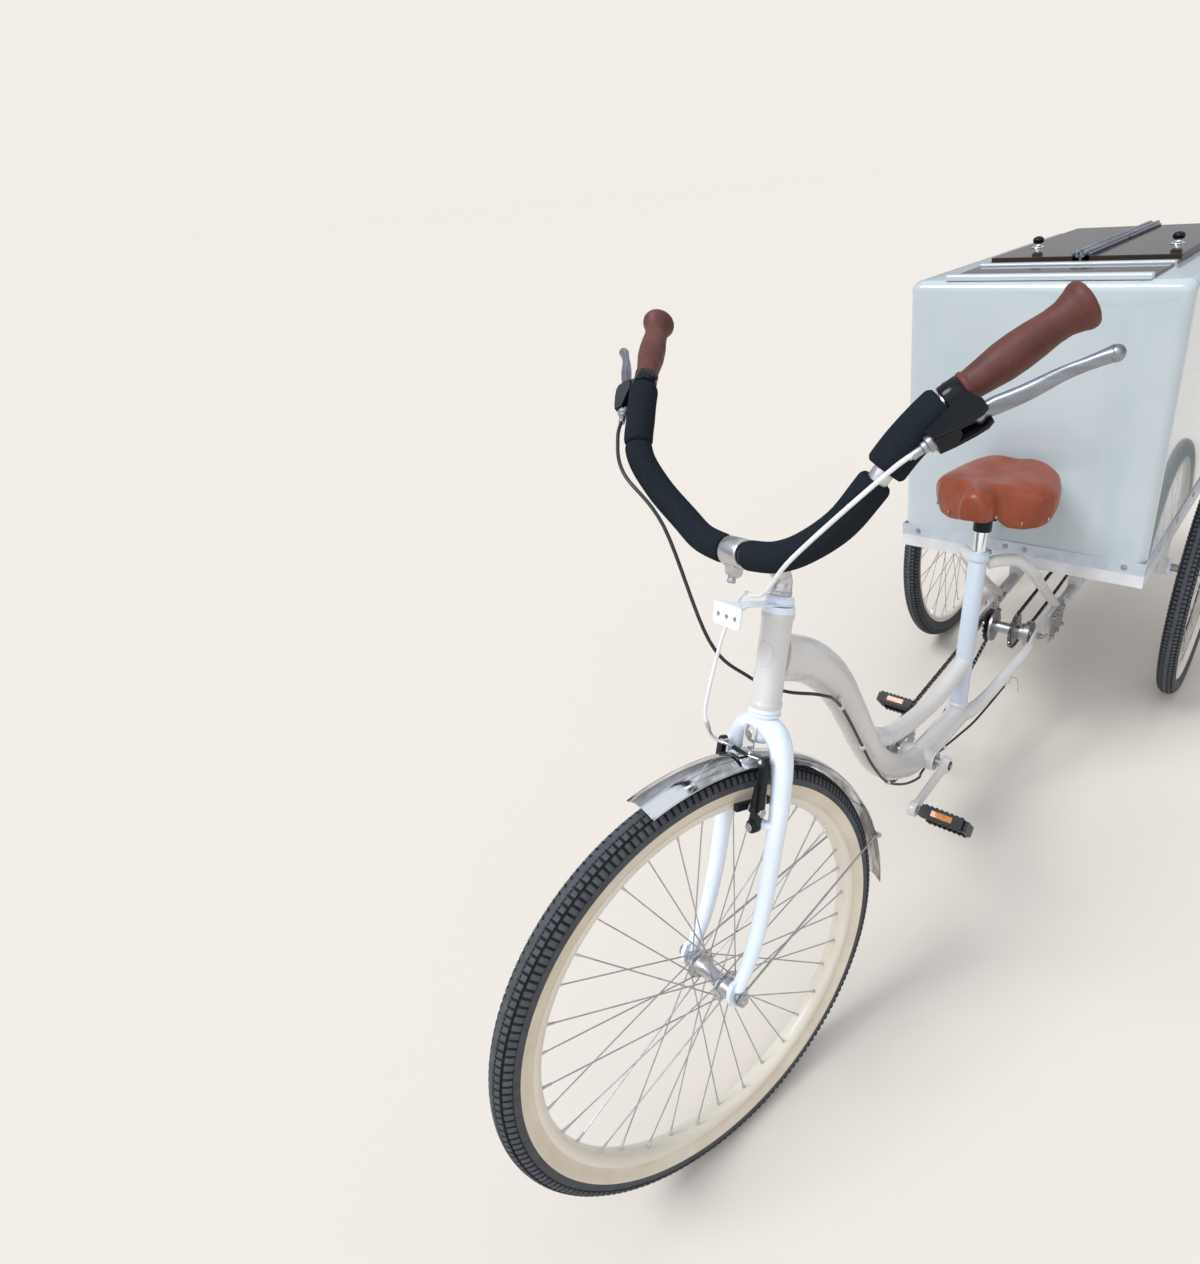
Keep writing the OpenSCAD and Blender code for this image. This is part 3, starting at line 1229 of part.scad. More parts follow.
module saddle_rails() {
  color("dimgray") placed() {
    both_sides() {
      sweep(smooth([[rail_x - 8, saddle_from + 45, pan_z - 0.5],
        [rail_x - 8, saddle_from + 45.5, pan_z - 12], [rail_x - 5, saddle_from + 53, saddle_z - 19],
        [rail_x, saddle_from + 76, saddle_z - 28], [rail_x, saddle_from + 120, saddle_z - 28],
        [rail_x, saddle_from + 165, saddle_z - 28], [rail_x + 8, saddle_from + 196, saddle_z - 18],
        [rail_x + 16, saddle_from + 211, pan_z - 11],
        [rail_x + 16, saddle_from + 211.5, pan_z - 0.5]], 3), 3.5, 3.5, [0, 0, 1], 10);
    }
    // Clamp over the top of the post
    difference() {
      union() {
        translate([-rail_x - 9, post_top[1] - 16, saddle_z - 40]) cube([2 * rail_x + 18, 32, 20]);
        rod(post_top - 30 * seat_dir, post_top, seatpost_d / 2 + 5);
        translate([0, post_top[1], saddle_z - 30]) disc_x(5, 2 * rail_x + 34);
      }
      rod(post_top - 60 * seat_dir, post_top, seatpost_d / 2);
    }
  }
}

// Cables, 5 mm over their housings
function turn_about(v, k, a) = v * cos(a) + cross(k, v) * sin(a) + k * (k * v) * (1 - cos(a));
// From the steering frame, with the wheel straight or turned, to the cycle frame
function from_steer(p, a) = axis_foot + turn_about(
  [p[0], 0, 0] + p[1] * axis_back + p[2] * axis_dir, axis_dir, a);
function lever_point(side, p) = let(q = lever_seat + p[0] * lever_out + p[1] * lever_axis
  + p[2] * grip_dir) side < 0 ? flip_x(q) : q;
barrel_end = [33, 0, -53];
cable_r = 2.5;
// White cable to the front brake, in the steering frame
front_cable_route = smooth([lever_point(1, barrel_end), lever_point(1, barrel_end + [0, 0, -35]),
  [150, -138, 640], [96, -118, 592], [30, -76, 572], [-8, -56, 566], [-25, -54, 545],
  [-36, -60, 500], [-44, -66, 420], [-44, -66, 392], [-40, -60, 372]], 3);
module front_brake_cable() {
  color(white) steer_frame() sweep(front_cable_route, cable_r, cable_r, [0, 1, 0], 8);
  // Noodle and inner wire between the tops of the arms
  color(steel) steer_frame()
    sweep(smooth([[-40, -60, 372], [-38, -54, 362], [-30, -48, 357], [-14, arm_back - 18, 356],
      [20, arm_back - 18, 355.5], [38, arm_back - 12.5, 355]], 3), 2, 2, [0, 1, 0], 8);
}
// Black cable from the right lever to the frame, then below the tubes
free_cable_route = smooth([from_steer(lever_point(-1, barrel_end), rest_steer),
  from_steer(lever_point(-1, barrel_end + [0, 0, -40]), rest_steer),
  from_steer([-176, -140, 690], rest_steer), from_steer([-110, -116, 632], rest_steer),
  [-66, 158, 800], [-40, 196, 730],
  [-10, 236, 690], [20, 272, 672], [28, 300, 652]], 4);

fixed_cable_route = smooth([[28, 300, 652], [22, 336, 610], [20, 372, 546], [20, 402, 484],
  [20, 440, 410], [20, 490, 338], [21, 560, 280], [22, 620, 250], [14, 650, 238],
  [10, 700, 231], [14, 760, 226], [22, 830, 219], [32, 880, 222], [44, 940, 238],
  [56, 1006, 257.5]], 2);
module rear_brake_cable() {
  color(black) placed() {
    sweep(concat(free_cable_route, [for (i = [1 : len(fixed_cable_route) - 1])
      fixed_cable_route[i]]), cable_r, cable_r, [1, 0, 0], 8);
  }
}
// Bare end of the inner wire, past the stay's cable stop
wire_route = smooth([[56, 1006.5, 258], [60, 1018, 257], [60, 1034, 262], [64, 1050, 252],
  [67, 1060, 236], [68, 1064, 218], [68, 1065, 204]], 2);
module cable_inner_wire() {
  color(steel) placed() sweep(wire_route, 0.9, 0.9, [1, 0, 0], 8);
}
module cable_clips() {
  // Ring round the cable on a foot that reaches the tube
  color(white) placed() difference() {
    for (c = [[2, [0, 0, 18]], [6, [-14, 14, 4]], [10, [-14, 10, 6]], [20, [0, 0, 20]]]) {
      at = fixed_cable_route[c[0]];
      way = 4 * tangent(fixed_cable_route, c[0]);
      rod(at - way, at + way, 5);
      rod(at, at + c[1], 3.5);
    }
    sweep(fixed_cable_route, cable_r + 0.2, cable_r + 0.2, [1, 0, 0], 8);
    main_tube_solid();
    rear_tube_solid(rear_tube_d / 2);
  }
}

head_tube();
main_tube();
seat_tube();
bottom_bracket();
chain_stays();
seat_stays();
seat_clamp();
axle_adaptors();
rear_subframe();
jackshaft_axle();
bearing_cups();
box_frame();
box_trim();
box_shell();
box_liner();
box_top();
crank_chain();
rear_chain();
rear_brake_cable();
cable_clips();
fork();
stem();
handlebar();
grips();
foam_sleeves();
lever_clamps();
lamp_bracket();
front_mudguard();
cable_inner_wire();
front_brake_cable();
front_axle();
front_tyre();
front_rim();
front_spokes();
front_hub();
left_brake_lever();
right_brake_lever();
left_brake_arm();
right_brake_arm();
crank_spindle();
crank_arms();
chainring();
left_pedal();
right_pedal();
freewheel_cog();
jackshaft_hub();
rear_axle();
left_rear_tyre();
left_rear_rim();
left_rear_spokes();
left_rear_hub();
right_rear_tyre();
right_rear_rim();
right_rear_spokes();
right_rear_hub();
left_lid();
right_lid();
seatpost();
saddle();
saddle_rails();
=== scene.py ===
import math
import bpy
import numpy as np
from mathutils import Matrix, Vector


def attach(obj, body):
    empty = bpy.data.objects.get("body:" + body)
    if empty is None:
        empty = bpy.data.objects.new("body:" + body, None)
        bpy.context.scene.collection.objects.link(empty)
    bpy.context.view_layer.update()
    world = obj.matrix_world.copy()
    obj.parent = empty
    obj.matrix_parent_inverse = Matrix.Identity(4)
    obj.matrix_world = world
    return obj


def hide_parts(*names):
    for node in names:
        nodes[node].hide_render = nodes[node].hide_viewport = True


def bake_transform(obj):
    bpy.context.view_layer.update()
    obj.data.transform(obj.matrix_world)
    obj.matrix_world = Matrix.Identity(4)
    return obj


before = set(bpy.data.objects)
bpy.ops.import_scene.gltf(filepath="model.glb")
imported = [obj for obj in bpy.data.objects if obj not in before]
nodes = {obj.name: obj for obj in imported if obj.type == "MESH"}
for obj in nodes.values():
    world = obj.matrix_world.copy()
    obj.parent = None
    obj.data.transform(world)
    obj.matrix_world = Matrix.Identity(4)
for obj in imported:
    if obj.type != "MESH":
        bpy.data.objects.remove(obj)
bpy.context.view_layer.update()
PI = math.pi

# Values of the part's source, in millimetres
HEAD = math.radians(68.7)
REST = math.radians(-12.8)
RAKE = 31.5
FRONT_R, REAR_R, TUBE_R = 333, 330.5, 23.5
WHEELBASE = 1629
BOX_HALF_X, BOX_HALF_Y, BOX_FOOT, BOX_TOP = 280, 481, 524.5, 1092
TRIM = 2.5
BACK_END = WHEELBASE + BOX_HALF_Y + TRIM
HALF_TRACK = 341
BOSS_Z = 258
HEAD_FOOT = 411
JACK = (1145, 322)
SPOKES = 36
PITCH = 12.7
X = np.array([1.0, 0, 0])
AXIS = np.array([0, math.cos(HEAD), math.sin(HEAD)])
BACK = np.array([0, math.sin(HEAD), -math.cos(HEAD)])
turn_in = RAKE * (1 - math.cos(REST))
AXLE_Z = (math.sqrt(1 - (math.cos(HEAD) * math.sin(REST)) ** 2) * (FRONT_R - TUBE_R)
          + TUBE_R + turn_in * math.cos(HEAD))
FOOT = np.array([0, RAKE * math.sin(HEAD), AXLE_Z - RAKE * math.cos(HEAD)])
front_end = (turn_in * math.sin(HEAD) - TUBE_R
             - math.sqrt(1 - (math.sin(HEAD) * math.sin(REST)) ** 2) * (FRONT_R - TUBE_R))
ORIGIN = np.array([0, (front_end + BACK_END) / 2, 0])


def arr(p):
    """One point or many, as rows of numbers."""
    return np.atleast_2d(np.array(p, float))


def turning(k, a):
    """Rows times this matrix turn by a about the unit vector k."""
    m = np.array([[0, -k[2], k[1]], [k[2], 0, -k[0]], [-k[1], k[0], 0]])
    return (np.eye(3) + math.sin(a) * m + (1 - math.cos(a)) * m @ m).T


REST_TURN = turning(AXIS, REST)


def cycle(p):
    """Cycle frame in millimetres to the row's frame in metres."""
    return (arr(p) - ORIGIN) / 1000


def straight(p):
    """Cycle frame with the wheel straight, turned to rest."""
    return cycle((arr(p) - FOOT) @ REST_TURN + FOOT)


def steer(p):
    """Steering frame: Z up the steering axis, Y behind it, turned to rest."""
    p = arr(p)
    return straight(p[:, :1] * X + p[:, 1:2] * BACK + p[:, 2:] * AXIS + FOOT)


def unit(v):
    v = np.array(v, float)
    return v / np.linalg.norm(v)


def smooth(p, steps):
    """Points on a smooth curve through a list, with a number of steps per span."""
    p = arr(p)
    out = []
    for i in range(len(p) - 1):
        a, b, c, d = p[max(i - 1, 0)], p[i], p[i + 1], p[min(i + 2, len(p) - 1)]
        for k in range(steps):
            t = k / steps
            out.append(0.5 * (2 * b + (c - a) * t + (2 * a - 5 * b + 4 * c - d) * t * t
                              + (3 * b - a - 3 * c + d) * t ** 3))
    return np.array(out + [p[-1]])


def runs(p):
    """Length along a path up to each of its points."""
    return np.concatenate([[0], np.cumsum(np.linalg.norm(np.diff(p, axis=0), axis=1))])


def part_of(p, s0, s1, n):
    """n + 1 points of a path between two lengths along it."""
    r = runs(p)
    s = np.linspace(s0, s1, n + 1)
    return np.stack([np.interp(s, r, p[:, i]) for i in range(3)], 1)


def flip(p):
    """Points on the other side of the tricycle."""
    return arr(p) * [-1, 1, 1]


# Solids as (points, faces)
def grid_faces(rows, cols, close_rows=False, close_cols=True):
    """Quads between the points of a grid, which may close on itself either way."""
    out = []
    for i in range(rows if close_rows else rows - 1):
        for j in range(cols if close_cols else cols - 1):
            a, b = i * cols + j, i * cols + (j + 1) % cols
            c, d = ((i + 1) % rows) * cols + (j + 1) % cols, ((i + 1) % rows) * cols + j
            out.append([a, b, c, d])
    return out


def tube(path, r, sides=24, ref=None, rv=None, caps=True, power=2.0):
    """Solid along a path. r and rv are numbers or lists along it; ref keeps the section upright."""
    path = arr(path)
    n = len(path)
    r = np.interp(np.linspace(0, 1, n), np.linspace(0, 1, np.size(r)), np.atleast_1d(r))
    rv = r if rv is None else np.interp(np.linspace(0, 1, n), np.linspace(0, 1, np.size(rv)),
                                        np.atleast_1d(rv))
    t = np.gradient(path, axis=0)
    t /= np.linalg.norm(t, axis=1)[:, None]
    if ref is None:
        u = unit(np.cross(t[0], [0.31, 0.77, 0.55]))
    else:
        u = unit(np.cross(ref, t[0]))
    out = []
    a = np.arange(sides) * 2 * PI / sides
    ca = np.sign(np.cos(a)) * np.abs(np.cos(a)) ** (2 / power)
    sa = np.sign(np.sin(a)) * np.abs(np.sin(a)) ** (2 / power)
    for i in range(n):
        if ref is None:
            u = unit(u - (u @ t[i]) * t[i])
        else:
            u = unit(np.cross(ref, t[i]))
        v = np.cross(t[i], u)
        out.append(path[i] + r[i] * ca[:, None] * u + rv[i] * sa[:, None] * v)
    faces = grid_faces(n, sides)
    if caps:
        faces.append(list(range(sides))[::-1])
        faces.append([(n - 1) * sides + k for k in range(sides)])
    return np.concatenate(out), faces


def basis(axis):
    """Two directions across an axis, and the axis."""
    z = unit(axis)
    x = unit(np.cross([0.31, 0.77, 0.55] if abs(z[0]) > 0.9 else [1.0, 0, 0], z))
    return x, np.cross(z, x), z


def lathe(profile, at, axis, n=48, closed=False):
    """Turns (radius, height) points about an axis through a point."""
    x, y, z = basis(axis)
    a = np.arange(n) * 2 * PI / n
    ring = np.cos(a)[:, None] * x + np.sin(a)[:, None] * y
    pts = np.concatenate([np.array(at) + h * z + max(r, 1e-4) * ring for r, h in profile])
    faces = grid_faces(len(profile), n, close_rows=closed)
    if not closed:
        faces.append(list(range(n))[::-1])
        faces.append([(len(profile) - 1) * n + k for k in range(n)])
    return pts, faces


def upright(profile, n=48, closed=True):
    """Turns (radius, height) points about the Z axis."""
    return lathe(profile, (0, 0, 0), (0, 0, 1), n, closed)


def cyl(a, b, r, n=32, soft=0.6, bore=0):
    """Round bar between two points, with soft edges and perhaps a bore."""
    a, b = np.array(a, float), np.array(b, float)
    h = np.linalg.norm(b - a)
    c = min(soft, r * 0.3, h * 0.3)
    outer = [(r - c, 0), (r - c * 0.3, c * 0.3), (r, c), (r, h - c), (r - c * 0.3, h - c * 0.3),
             (r - c, h)]
    if bore:
        return lathe(outer + [(bore, h), (bore, 0)], a, b - a, n, closed=True)
    return lathe(outer, a, b - a, n)


def disc(at, r, t, n=48, axis=(1, 0, 0), soft=0.6, bore=0):
    at, axis = np.array(at, float), unit(axis)
    return cyl(at - axis * t / 2, at + axis * t / 2, r, n, soft, bore)


def ball(at, r, n=24, squash=(1, 1, 1)):
    prof = [(r * math.sin(PI * k / n), -r * math.cos(PI * k / n)) for k in range(n + 1)]
    p, f = lathe(prof, (0, 0, 0), (0, 0, 1), n)
    return p * np.array(squash) + np.array(at), f


def prism(poly, at, u, v, t):
    """Plate of a flat outline in the plane of u and v, centred on its thickness."""
    u, v = unit(u), unit(v)
    w = np.cross(u, v)
    poly = np.array(poly, float)
    flat = np.array(at) + poly[:, :1] * u + poly[:, 1:] * v
    n = len(poly)
    area = sum(poly[i - 1][0] * poly[i][1] - poly[i][0] * poly[i - 1][1] for i in range(n))
    pts = np.concatenate([flat - w * t / 2, flat + w * t / 2])
    faces = [list(range(n))[::-1], [n + k for k in range(n)]]
    faces += [[k, (k + 1) % n, n + (k + 1) % n, n + k] for k in range(n)]
    if area < 0:
        faces = [f[::-1] for f in faces]
    return pts, faces


def side_plate(poly, at, t):
    """Plate with its outline in X and Z."""
    return prism(poly, at, (1, 0, 0), (0, 0, 1), t)


def long_plate(poly, at, t):
    """Plate with its outline in Y and Z."""
    return prism(poly, at, (0, 1, 0), (0, 0, 1), t)


def brick(lo, hi):
    """Block between two corners, with each pair of bounds in either order."""
    lo, hi = np.minimum(lo, hi).astype(float), np.maximum(lo, hi).astype(float)
    m = (lo + hi) / 2
    poly = [(lo[0], lo[1]), (hi[0], lo[1]), (hi[0], hi[1]), (lo[0], hi[1])]
    return prism(poly, (0, 0, m[2]), (1, 0, 0), (0, 1, 0), hi[2] - lo[2])


def round_rect(w, h, r, n=8):
    """Outline of a rectangle with round corners."""
    out = []
    for sx, sy, a0 in ((1, 1, 0), (-1, 1, 90), (-1, -1, 180), (1, -1, 270)):
        for k in range(n + 1):
            a = math.radians(a0 + 90 * k / n)
            out.append((sx * (w / 2 - r) + r * math.cos(a), sy * (h / 2 - r) + r * math.sin(a)))
    return out


def mirrored(solid):
    """The same solid on the other side of the tricycle."""
    return flip(solid[0]), [f[::-1] for f in solid[1]]


# Materials
def mat(name, color, color2=None, rough=0.4, vary=0.08, metal=0.0, scale=14.0, bump=0.0,
        bump_scale=400.0, stretch=(1, 1, 1), coat=0.0, coat_rough=0.05, ior=1.45, kind="noise",
        ramp=(0.35, 0.65), distance=0.0006):
    """Principled material whose colour, roughness and relief come from noise in real size."""
    m = bpy.data.materials.new(name)
    m.use_nodes = True
    t = m.node_tree
    n, link = t.nodes, t.links.new
    p = n["Principled BSDF"]
    p.inputs["Metallic"].default_value = metal
    p.inputs["IOR"].default_value = ior
    p.inputs["Coat Weight"].default_value = coat
    p.inputs["Coat Roughness"].default_value = coat_rough
    tc = n.new("ShaderNodeTexCoord")
    mp = n.new("ShaderNodeMapping")
    mp.inputs["Scale"].default_value = stretch
    link(tc.outputs["Object"], mp.inputs["Vector"])
    no = n.new("ShaderNodeTexNoise")
    no.inputs["Scale"].default_value = scale
    no.inputs["Detail"].default_value = 6
    no.inputs["Roughness"].default_value = 0.6
    link(mp.outputs["Vector"], no.inputs["Vector"])
    ra = n.new("ShaderNodeValToRGB")
    ra.color_ramp.elements[0].position = ramp[0]
    ra.color_ramp.elements[1].position = ramp[1]
    ra.color_ramp.elements[0].color = (*color, 1)
    ra.color_ramp.elements[1].color = (*(color2 or [c * 0.93 for c in color]), 1)
    link(no.outputs["Fac"], ra.inputs["Fac"])
    link(ra.outputs["Color"], p.inputs["Base Color"])
    mr = n.new("ShaderNodeMapRange")
    mr.inputs["To Min"].default_value = max(rough - vary, 0.02)
    mr.inputs["To Max"].default_value = min(rough + vary, 1)
    link(no.outputs["Fac"], mr.inputs["Value"])
    link(mr.outputs["Result"], p.inputs["Roughness"])
    if bump:
        if kind == "cells":
            b = n.new("ShaderNodeTexVoronoi")
            b.feature = "DISTANCE_TO_EDGE"
            height = b.outputs["Distance"]
        else:
            b = n.new("ShaderNodeTexNoise")
            b.inputs["Detail"].default_value = 3
            height = b.outputs["Fac"]
        b.inputs["Scale"].default_value = bump_scale
        link(mp.outputs["Vector"], b.inputs["Vector"])
        bu = n.new("ShaderNodeBump")
        bu.inputs["Strength"].default_value = bump
        bu.inputs["Distance"].default_value = distance
        link(height, bu.inputs["Height"])
        link(bu.outputs["Normal"], p.inputs["Normal"])
    return m


M = {
    "frame": mat("frame_paint", (0.66, 0.645, 0.63), (0.61, 0.59, 0.57), 0.28, 0.06, scale=5, bump=0.05,
                 bump_scale=260, coat=0.6, coat_rough=0.12),
    "fork": mat("fork_paint", (0.80, 0.87, 0.97), (0.74, 0.81, 0.91), 0.26, 0.06, scale=6, bump=0.05,
                bump_scale=260, coat=0.6, coat_rough=0.1),
    # Bluish copy of the white frame paint: painted blue light on the seat tube and its collar
    "painted_blue_light": mat("painted_blue_light_paint", (0.57, 0.63, 0.72), (0.52, 0.58, 0.66), 0.28, 0.06, scale=5, bump=0.05,
                bump_scale=260, coat=0.5, coat_rough=0.12),
    "trim": mat("trim_alloy", (0.60, 0.66, 0.74), (0.50, 0.55, 0.62), 0.42, 0.1, 0.45, scale=26,
                bump=0.08, bump_scale=420),
    "kit": mat("kit_paint", (0.72, 0.73, 0.75), (0.60, 0.60, 0.61), 0.42, 0.1, scale=16, bump=0.12,
               bump_scale=200, coat=0.2, coat_rough=0.3),
    "rim": mat("rim_paint", (0.78, 0.72, 0.62), (0.72, 0.65, 0.54), 0.35, 0.08, scale=7, bump=0.05,
               bump_scale=240, coat=0.3, coat_rough=0.2),
    "whitewall": mat("whitewall", (0.74, 0.66, 0.54), (0.66, 0.57, 0.45), 0.62, 0.1, scale=18, bump=0.2,
                     bump_scale=700),
    "tyre": mat("tyre_rubber", (0.040, 0.046, 0.056), (0.085, 0.092, 0.105), 0.7, 0.12, scale=60,
                bump=0.25, bump_scale=900, ramp=(0.3, 0.8)),
    # Tread cuts: the tyre's own rubber made darker, painted shade in the grooves
    "groove_painted_shade": mat("tyre_groove_painted_shade", (0.006, 0.006, 0.008), (0.014, 0.014, 0.016), 0.85, 0.08, scale=40,
                  bump=0.2, bump_scale=900),
    # Mudguard chrome: dark and bright streaks stretched along the guard in its colour are painted reflections
    "guard": mat("guard_chrome_painted_reflections", (0.16, 0.15, 0.145), (0.74, 0.75, 0.77), 0.09, 0.04, 1.0, scale=9,
                 bump=0.03, bump_scale=60, stretch=(3, 0.8, 0.8), ramp=(0.4, 0.62)),
    "chrome": mat("chrome", (0.86, 0.86, 0.87), (0.8, 0.8, 0.81), 0.07, 0.03, 1.0, scale=18, bump=0.03,
                  bump_scale=90),
    "alloy": mat("alloy", (0.62, 0.62, 0.63), (0.5, 0.5, 0.52), 0.3, 0.08, 1.0, scale=30, bump=0.08,
                 bump_scale=500, stretch=(1, 1, 5)),
    "brushed": mat("brushed_alloy", (0.34, 0.36, 0.40), (0.20, 0.21, 0.24), 0.34, 0.1, 1.0, scale=9,
                   bump=0.1, bump_scale=420, stretch=(0.3, 3, 9)),
    "steel": mat("steel", (0.50, 0.50, 0.51), (0.36, 0.36, 0.38), 0.36, 0.1, 1.0, scale=40, bump=0.1,
                 bump_scale=300),
    "chain": mat("chain_steel", (0.085, 0.08, 0.078), (0.03, 0.028, 0.026), 0.42, 0.14, 0.85, scale=120,
                 bump=0.2, bump_scale=500),
    "black": mat("black_parts", (0.012, 0.014, 0.018), (0.008, 0.010, 0.013), 0.36, 0.1, scale=30,
                 bump=0.15, bump_scale=800, ior=1.3),
    "gloss_black": mat("black_gloss", (0.005, 0.006, 0.009), (0.006, 0.007, 0.010), 0.16, 0.05, scale=20,
                       bump=0.04, bump_scale=300, coat=0.1, ior=1.26),
    "foam": mat("foam", (0.012, 0.015, 0.020), (0.020, 0.025, 0.033), 0.92, 0.05, scale=700, bump=0.6,
                bump_scale=1500, distance=0.0005, ior=1.1),
    "grip": mat("grip_rubber", (0.135, 0.042, 0.034), (0.088, 0.028, 0.023), 0.5, 0.1, scale=34, bump=0.3,
                bump_scale=1300, kind="cells", distance=0.00025, ior=1.36),
    "leather": mat("saddle_leather", (0.27, 0.054, 0.018), (0.19, 0.036, 0.013), 0.36, 0.1, scale=22,
                   bump=0.35, bump_scale=900, kind="cells", distance=0.0002, coat=0.2, coat_rough=0.28,
                   ior=1.4),
    "brass": mat("old_brass", (0.62, 0.5, 0.3), (0.4, 0.3, 0.17), 0.32, 0.1, 1.0, scale=200, bump=0.1),
    "cable_black": mat("cable_black", (0.018, 0.018, 0.02), (0.03, 0.03, 0.032), 0.34, 0.08, scale=60,
                       bump=0.1, bump_scale=600),
    "cable_white": mat("cable_white", (0.80, 0.80, 0.80), (0.72, 0.72, 0.73), 0.34, 0.08, scale=60,
                       bump=0.1, bump_scale=600),
    "box": mat("box_gloss", (0.49, 0.55, 0.575), (0.435, 0.50, 0.53), 0.16, 0.05, scale=2.2, bump=0.06,
               bump_scale=14, distance=0.004, coat=0.8, coat_rough=0.04),
    "liner": mat("liner", (0.8, 0.8, 0.8), (0.74, 0.74, 0.74), 0.4, 0.08, scale=6, bump=0.05),
    "lid": mat("lid_dark", (0.040, 0.026, 0.020), (0.055, 0.038, 0.030), 0.08, 0.04, scale=5, bump=0.02,
               bump_scale=30, ior=1.22),
    "amber": mat("amber", (0.55, 0.18, 0.01), (0.42, 0.12, 0.006), 0.22, 0.06, scale=300, bump=0.7,
                 bump_scale=420, kind="cells", coat=0.7),
}


class Form:
    """Collects solids of several materials into one mesh."""

    def __init__(self, *mats):
        self.mats, self.pts, self.faces, self.kinds, self.n = mats, [], [], [], 0

    def add(self, solid, kind=0, both=False, side=1):
        """Adds a solid, its mirror image (side = -1) or both of them."""
        pts, faces = solid if side > 0 else mirrored(solid)
        self.pts.append(pts)
        self.faces += [[self.n + k for k in f] for f in faces]
        self.kinds += [kind] * len(faces)
        self.n += len(pts)
        if both:
            self.add(mirrored(solid), kind)
        return self

    def make(self, name, body, slot, space=cycle, replaces=(), angle=32, bevel=0):
        mesh = bpy.data.meshes.new(name)
        mesh.from_pydata(space(np.concatenate(self.pts)).tolist(), [], self.faces)
        mesh.polygons.foreach_set("material_index", self.kinds)
        for m in self.mats:
            mesh.materials.append(M[m])
        mesh.validate()
        mesh.shade_smooth()
        mesh.set_sharp_from_angle(angle=math.radians(angle))
        mesh.update()
        o = bpy.data.objects.new(name, mesh)
        bpy.context.scene.collection.objects.link(o)
        if bevel:
            b = o.modifiers.new("edges", "BEVEL")
            b.width, b.segments, b.limit_method = bevel / 1000, 2, "ANGLE"
            b.angle_limit = math.radians(35)
            b.harden_normals = True
        if body:
            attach(o, body)
        if replaces:
            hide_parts(*replaces)
        return o


def place_camera():
    """Camera at the photograph's angle, with its frame cut from a wider picture."""
    az, el, roll = -0.668, -0.558, -0.099
    fw = np.array([math.sin(az) * math.cos(el), math.cos(az) * math.cos(el), math.sin(el)])
    r = unit(np.cross(fw, [0, 0, 1]))
    u = np.cross(r, fw)
    r2 = math.cos(roll) * r + math.sin(roll) * u
    u2 = -math.sin(roll) * r + math.cos(roll) * u
    cam = bpy.data.cameras.new("camera")
    cam.sensor_fit = "VERTICAL"
    cam.sensor_height = 36
    focal, across, down, wide, high = 773.1, 766.8, 657.3, 1200, 1264
    cam.lens = focal / high * cam.sensor_height
    cam.shift_x = (wide / 2 - across) / high
    cam.shift_y = (down - high / 2) / high
    o = bpy.data.objects.new("camera", cam)
    c = cycle((534.8, -485.3, 1312.8))[0]
    o.matrix_world = Matrix([[r2[i], u2[i], -fw[i], c[i]] for i in range(3)] + [[0, 0, 0, 1]])
    bpy.context.scene.collection.objects.link(o)
    bpy.context.scene.camera = o


place_camera()

# Handlebar
BAR_MID = np.array([0, -84, 619.0])
BAR = smooth([BAR_MID + q for q in ([0, 0, 0], [30, 0, 1], [70, 0, 7], [110, 1, 24], [165, -8, 58],
                                    [204, -16, 98], [228, -3, 146], [254, 16, 188], [290, 46, 232],
                                    [332, 82, 283])], 10)
BAR_LEN = runs(BAR)[-1]
GRIP_LEN = 122
LEVER_S = BAR_LEN - GRIP_LEN - 11
TIP = BAR[-1]
GRIP_DIR = unit(TIP - part_of(BAR, BAR_LEN - GRIP_LEN, BAR_LEN, 1)[0])
raw_out = np.array([0.815, -0.256, -0.52])
OUT = unit(raw_out - (raw_out @ GRIP_DIR) * GRIP_DIR)
LAX = np.cross(GRIP_DIR, OUT)
SEAT_L = part_of(BAR, LEVER_S, BAR_LEN, 1)[0]


def lever_pt(p):
    """Lever frame: X away from the bar, Z along the bar towards its end."""
    p = arr(p)
    return SEAT_L + p[:, :1] * OUT + p[:, 1:2] * LAX + p[:, 2:] * GRIP_DIR


